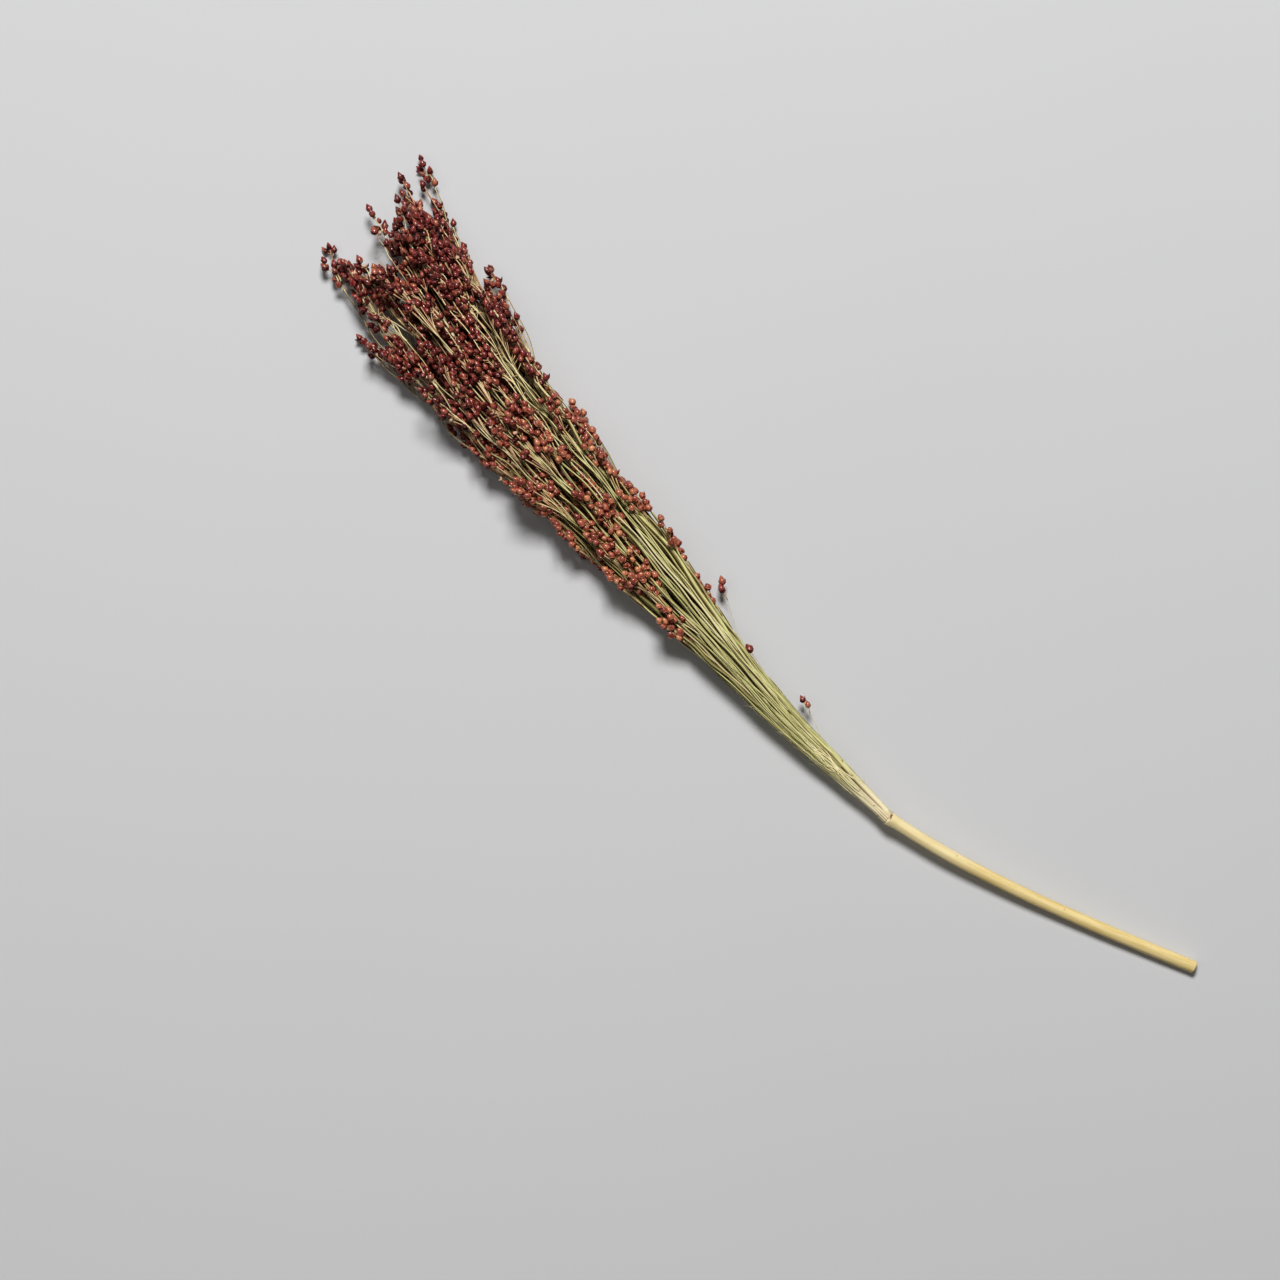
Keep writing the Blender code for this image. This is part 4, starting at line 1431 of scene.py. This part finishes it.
def fibres_shape(paths, rng):
    """Loose dry fibres: curls close over the foot of the bundle, fibres that lift off straws, and hairs.

    A curl is a sine across a straight run. A lifted fibre follows its straw with a growing arc. A hair
    leaves the bundle's side in a straight line that bends up or down by t^2.
    """
    t = np.linspace(0.0, 1.0, FIBRE_STATIONS)
    lines = []
    widths = []
    for _ in range(CURLS):
        x = CURL_START + rng.uniform(0.0, CURL_SPREAD) + rng.uniform(*CURL_LENGTH) * t
        form = smooth(BUNDLE, x)
        turns = rng.uniform(0.7, 1.6)
        lane = rng.uniform(-0.8, 0.8) + 0.22 * np.sin(2.0 * math.pi * (turns * t + rng.random()))
        widths.append(rng.uniform(*CURL_HALF))
        top = np.sqrt(np.maximum(1.0 - lane**2, 0.0))
        z = form[:, 1] + form[:, 3] * top + 1.0 - 1.4 * (2.0 * t - 1.0) ** 6
        lines.append(np.column_stack([x, form[:, 0] + lane * form[:, 2], z]))
    for _ in range(LIFTED_FIBRES):
        widths.append(rng.uniform(*LIFTED_HALF))
        straw = paths[rng.integers(len(paths))]
        first = rng.integers(*LIFTED_STATIONS)
        x = straw[first, 0] + rng.uniform(*LIFTED_LENGTH) * t
        x = np.minimum(x, straw[-1, 0])
        y = np.interp(x, straw[:, 0], straw[:, 1])
        z = np.interp(x, straw[:, 0], straw[:, 2])
        away = rng.uniform(-LIFTED_AWAY, LIFTED_AWAY, 2)
        lift = t**2
        y = y + away[0] * lift + 0.4 * np.sin(9.0 * t + away[1])
        z = np.maximum(z + abs(away[1]) * lift, 0.3)
        lines.append(np.column_stack([x + 0.02 * t, y, z]))
    for _ in range(HAIRS):
        widths.append(HAIR_HALF)
        x = rng.uniform(*HAIR_X)
        form = smooth(BUNDLE, x)[0]
        lane = -1.0 if rng.random() < 0.7 else 1.0
        length = rng.uniform(*HAIR_LENGTH)
        out = length * t * rng.uniform(0.3, 0.9)
        y = form[0] + lane * (form[2] + 0.4 + out)
        z = form[1] + rng.uniform(-0.3, 0.8) * form[3] + rng.uniform(-0.5, 0.5) * length * t**2
        lines.append(np.column_stack([x + length * t, y, z]))
    lines = np.array(lines)
    radii = np.array(widths)[:, None] * (1.0 - 0.5 * t)[None]
    points = tube_points(lines, radii, radii, THIN_SIDES, UP)
    return points, tube_faces(len(lines), FIBRE_STATIONS, THIN_SIDES)


# Operators, one for each piece or group of like pieces

def settings():
    return bpy.context.scene.sorghum_head


def plan():
    head = settings()
    return head_plan(head.straws.more, head.grains.more, head.straws.sway / MM, head.grains.pairs)


class SORGHUM_OT_stalk(Operator):
    """Make the bare stalk and the brown ring at its node"""
    bl_idname = "sorghum.stalk"
    bl_label = "Stalk"

    def execute(self, context):
        head = settings()
        points, faces, cut, fibres = stalk_shape(head.stalk)
        stalk = make_piece("stalk_skin", points, faces, stalk_finish(head.colours), STALK_SLOT,
                           cut=cut, fibre=fibres)
        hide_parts("stalk")
        points, faces = node_ring_shape()
        make_piece("node_ring", points, faces, ring_finish(head.colours), STALK_SLOT)
        return {"FINISHED"}


class SORGHUM_OT_straws(Operator):
    """Make the foot of the bundle and the straws that leave it"""
    bl_idname = "sorghum.straws"
    bl_label = "Straws"

    def execute(self, context):
        head = settings()
        paths = plan()[0]
        rng = np.random.default_rng(MORE_SEED)
        material = straw_finish(head.colours)
        points, faces, path, edge = foot_shape()
        fibres = tube_fibres(path, FOOT_SIDES, rng, FIBRE_STRETCH)
        each = points.shape[1]
        # The foot takes full painted shade, so away from the node it shows near-black olive between the
        # straws
        foot = make_piece("bundle_foot", points, faces, material, HEAD_SLOT,
                          fibre=fibres, tone=np.full(each, 0.4), deep=np.ones(each), edge=edge)
        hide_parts("head")
        points, faces, fibres, edge = strands_shape(np.random.default_rng(MORE_SEED + 4))
        tone = tones(points, rng)
        strands = make_piece("skin_strands", points, faces, material, HEAD_SLOT,
                             fibre=fibres, tone=tone, deep=np.zeros(len(tone)), edge=edge)
        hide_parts("head")
        points, faces, fibres, deep, edge = straws_shape(paths, head.straws, rng)
        straws = make_piece("straws", points, faces, material, HEAD_SLOT,
                            fibre=fibres, tone=tones(points, rng), deep=deep, edge=edge)
        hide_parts("head")
        return {"FINISHED"}


class SORGHUM_OT_stems(Operator):
    """Make the thin stems that carry the grains"""
    bl_idname = "sorghum.stems"
    bl_label = "Stems"

    def execute(self, context):
        head = settings()
        paths, tips, strings, (owner, places, shares) = plan()
        rng = np.random.default_rng(MORE_SEED + 1)
        lines, points, faces, along = stems_shape(strings, paths, head.grains, rng)
        material = stem_finish(head.colours)
        stems = make_piece("string_stems", points, faces, material, HEAD_SLOT,
                           tone=tones(points, rng), along=along)
        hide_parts("head")
        feet, axes = grain_feet(strings, lines, owner, places)
        radii = 0.5 * head.grains.width / MM * shares
        points, faces = stalks_to_grains(feet, places, axes, radii)
        tone = tones(points, rng)
        stalks = make_piece("grain_stalks", points, faces, material, HEAD_SLOT,
                            tone=tone, along=np.full(len(tone), 0.8))
        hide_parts("head")
        return {"FINISHED"}


class SORGHUM_OT_grains(Operator):
    """Make the grains, the husks round them and the husks that are empty"""
    bl_idname = "sorghum.grains"
    bl_label = "Grains"

    def execute(self, context):
        head = settings()
        paths, tips, strings, (owner, places, shares) = plan()
        lines = stems_shape(strings, paths, head.grains, np.random.default_rng(MORE_SEED + 1))[0]
        rng = np.random.default_rng(MORE_SEED + 2)
        feet, axes = grain_feet(strings, lines, owner, places)
        radii = 0.5 * head.grains.width / MM * shares * rng.uniform(0.84, 1.08, len(places))
        own = rng.uniform(-0.26, 0.26, len(strings))[owner] + rng.uniform(-0.14, 0.14, len(places))
        ripe = np.clip(0.1 + 0.9 * ease((places[:, 0] - 340.0) / 180.0) + own, 0.0, 1.0)
        alone = np.array([count < 3 for root, tip, count in strings])[owner]
        ripe[alone] = LONE_RIPENESS
        tone = rng.uniform(0.0, 1.0, len(places))
        empty = np.zeros(len(places), dtype=bool)
        upper = np.flatnonzero(places[:, 0] > 380.0)
        empty[rng.choice(upper, head.grains.empty, replace=False)] = True
        skin = grain_finish(head.colours)
        husk = husk_finish(head.colours)
        husk_size = np.where(empty, 0.62 * radii, radii)
        husk_ripe = np.where(empty, 1.0, ripe)
        parts = (("lower", places[:, 0] < PARTED_X), ("upper", places[:, 0] >= PARTED_X))
        for name, part in parts:
            full = part & ~empty
            points, faces, along = grains_shape(places[full], axes[full], radii[full], ripe[full], rng)
            grains = make_piece(f"grains_{name}", points, faces, skin, HEAD_SLOT, along=along,
                                ripe=per_point(ripe[full], points), tone=per_point(tone[full], points))
            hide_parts("head")
            points, faces, fibres, rim = husks_shape(
                places[part], axes[part], husk_size[part], husk_ripe[part], empty[part], rng)
            husks = make_piece(f"husks_{name}", points, faces, husk, HEAD_SLOT, fibre=fibres, rim=rim,
                               ripe=per_point(ripe[part], points), tone=tones(points, rng),
                               empty=per_point(empty[part].astype(float), points))
            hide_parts("head")
        barren = rng.random(len(places)) < head.grains.barren
        points, faces, rim = spikelets_shape(places[barren], axes[barren], radii[barren], rng)
        spikelets = make_piece("barren_spikelets", points, faces, husk, HEAD_SLOT,
                               fibre=np.zeros(points.shape), rim=rim, ripe=per_point(ripe[barren], points),
                               tone=per_point(tone[barren], points), empty=np.zeros(len(rim)))
        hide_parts("head")
        return {"FINISHED"}


class SORGHUM_OT_fibres(Operator):
    """Make the loose dry fibres"""
    bl_idname = "sorghum.fibres"
    bl_label = "Fibres"

    def execute(self, context):
        paths = plan()[0]
        points, faces = fibres_shape(paths, np.random.default_rng(MORE_SEED + 3))
        make_piece("loose_fibres", points, faces, fibre_finish(settings().colours), HEAD_SLOT)
        return {"FINISHED"}


def make_light(name, aside, up, height, size, power):
    """A square soft light that faces the middle of the head. Aside and up are as the camera sees them."""
    light = bpy.data.lights.new(name, "AREA")
    light.shape = "SQUARE"
    light.size = size
    light.energy = power
    lamp = bpy.data.objects.new(name, light)
    place = VIEW_MIDDLE + aside * CAMERA_RIGHT + up * CAMERA_UP + Vector((0.0, 0.0, height))
    turn = (VIEW_MIDDLE - place).to_track_quat("-Z", "Y")
    lamp.matrix_world = Matrix.Translation(place) @ turn.to_matrix().to_4x4()
    bpy.context.scene.collection.objects.link(lamp)


class SORGHUM_OT_stage(Operator):
    """Make the plain floor, the soft lights and the camera over them"""
    bl_idname = "sorghum.stage"
    bl_label = "Stage"

    def execute(self, context):
        scene = context.scene
        scene.view_settings.view_transform = "Standard"
        scene.view_settings.look = "Medium High Contrast"
        half = FLOOR_HALF
        mesh = bpy.data.meshes.new("floor")
        corners = ((-half, -half, 0.0), (half, -half, 0.0), (half, half, 0.0), (-half, half, 0.0))
        mesh.from_pydata(corners, [], [(0, 1, 2, 3)])
        mesh.materials.append(floor_finish(settings().colours))
        floor = bpy.data.objects.new("floor", mesh)
        scene.collection.objects.link(floor)
        for light in LIGHTS:
            make_light(*light)
        world = bpy.data.worlds.new("soft_room")
        world.use_nodes = True
        room = world.node_tree.nodes["Background"]
        room.inputs["Color"].default_value = (1.0, 1.0, 1.0, 1.0)
        room.inputs["Strength"].default_value = ROOM_STRENGTH
        scene.world = world
        lens = bpy.data.cameras.new("camera")
        lens.sensor_width = SENSOR_WIDTH
        lens.lens = lens.sensor_width * CAMERA_HEIGHT / VIEW_WIDTH
        camera = bpy.data.objects.new("camera", lens)
        rows = Matrix((CAMERA_RIGHT, CAMERA_UP, Vector((0.0, 0.0, 1.0)))).transposed()
        place = VIEW_MIDDLE + Vector((0.0, 0.0, CAMERA_HEIGHT))
        camera.matrix_world = Matrix.Translation(place) @ rows.to_4x4()
        scene.collection.objects.link(camera)
        scene.camera = camera
        return {"FINISHED"}


class SorghumHead(PropertyGroup):
    stalk: PointerProperty(type=StalkSizes)
    straws: PointerProperty(type=StrawSizes)
    grains: PointerProperty(type=GrainSizes)
    colours: PointerProperty(type=HeadColours)


class SORGHUM_PT_panel(Panel):
    """Settings and pieces of the sorghum head"""
    bl_idname = "SORGHUM_PT_panel"
    bl_label = "Sorghum Seed Head"
    bl_space_type = "VIEW_3D"
    bl_region_type = "UI"
    bl_category = "Sorghum"

    def draw(self, context):
        head = context.scene.sorghum_head
        for group in (head.stalk, head.straws, head.grains, head.colours):
            box = self.layout.box()
            for name in group.__annotations__:
                box.prop(group, name)
        for operator in OPERATORS:
            self.layout.operator(operator.bl_idname)


OPERATORS = (
    SORGHUM_OT_stalk,
    SORGHUM_OT_straws,
    SORGHUM_OT_stems,
    SORGHUM_OT_grains,
    SORGHUM_OT_fibres,
    SORGHUM_OT_stage,
)
CLASSES = (StalkSizes, StrawSizes, GrainSizes, HeadColours, SorghumHead, *OPERATORS, SORGHUM_PT_panel)


def register():
    for cls in CLASSES:
        bpy.utils.register_class(cls)
    bpy.types.Scene.sorghum_head = PointerProperty(type=SorghumHead)


def unregister():
    del bpy.types.Scene.sorghum_head
    for cls in reversed(CLASSES):
        bpy.utils.unregister_class(cls)


def main():
    for name in ("Cube", "Light", "Camera"):
        if name in bpy.data.objects:
            bpy.data.objects.remove(bpy.data.objects[name])
    register()
    bpy.ops.sorghum.stalk()
    bpy.ops.sorghum.straws()
    bpy.ops.sorghum.stems()
    bpy.ops.sorghum.grains()
    bpy.ops.sorghum.fibres()
    bpy.ops.sorghum.stage()


if __name__ == "__main__":
    main()
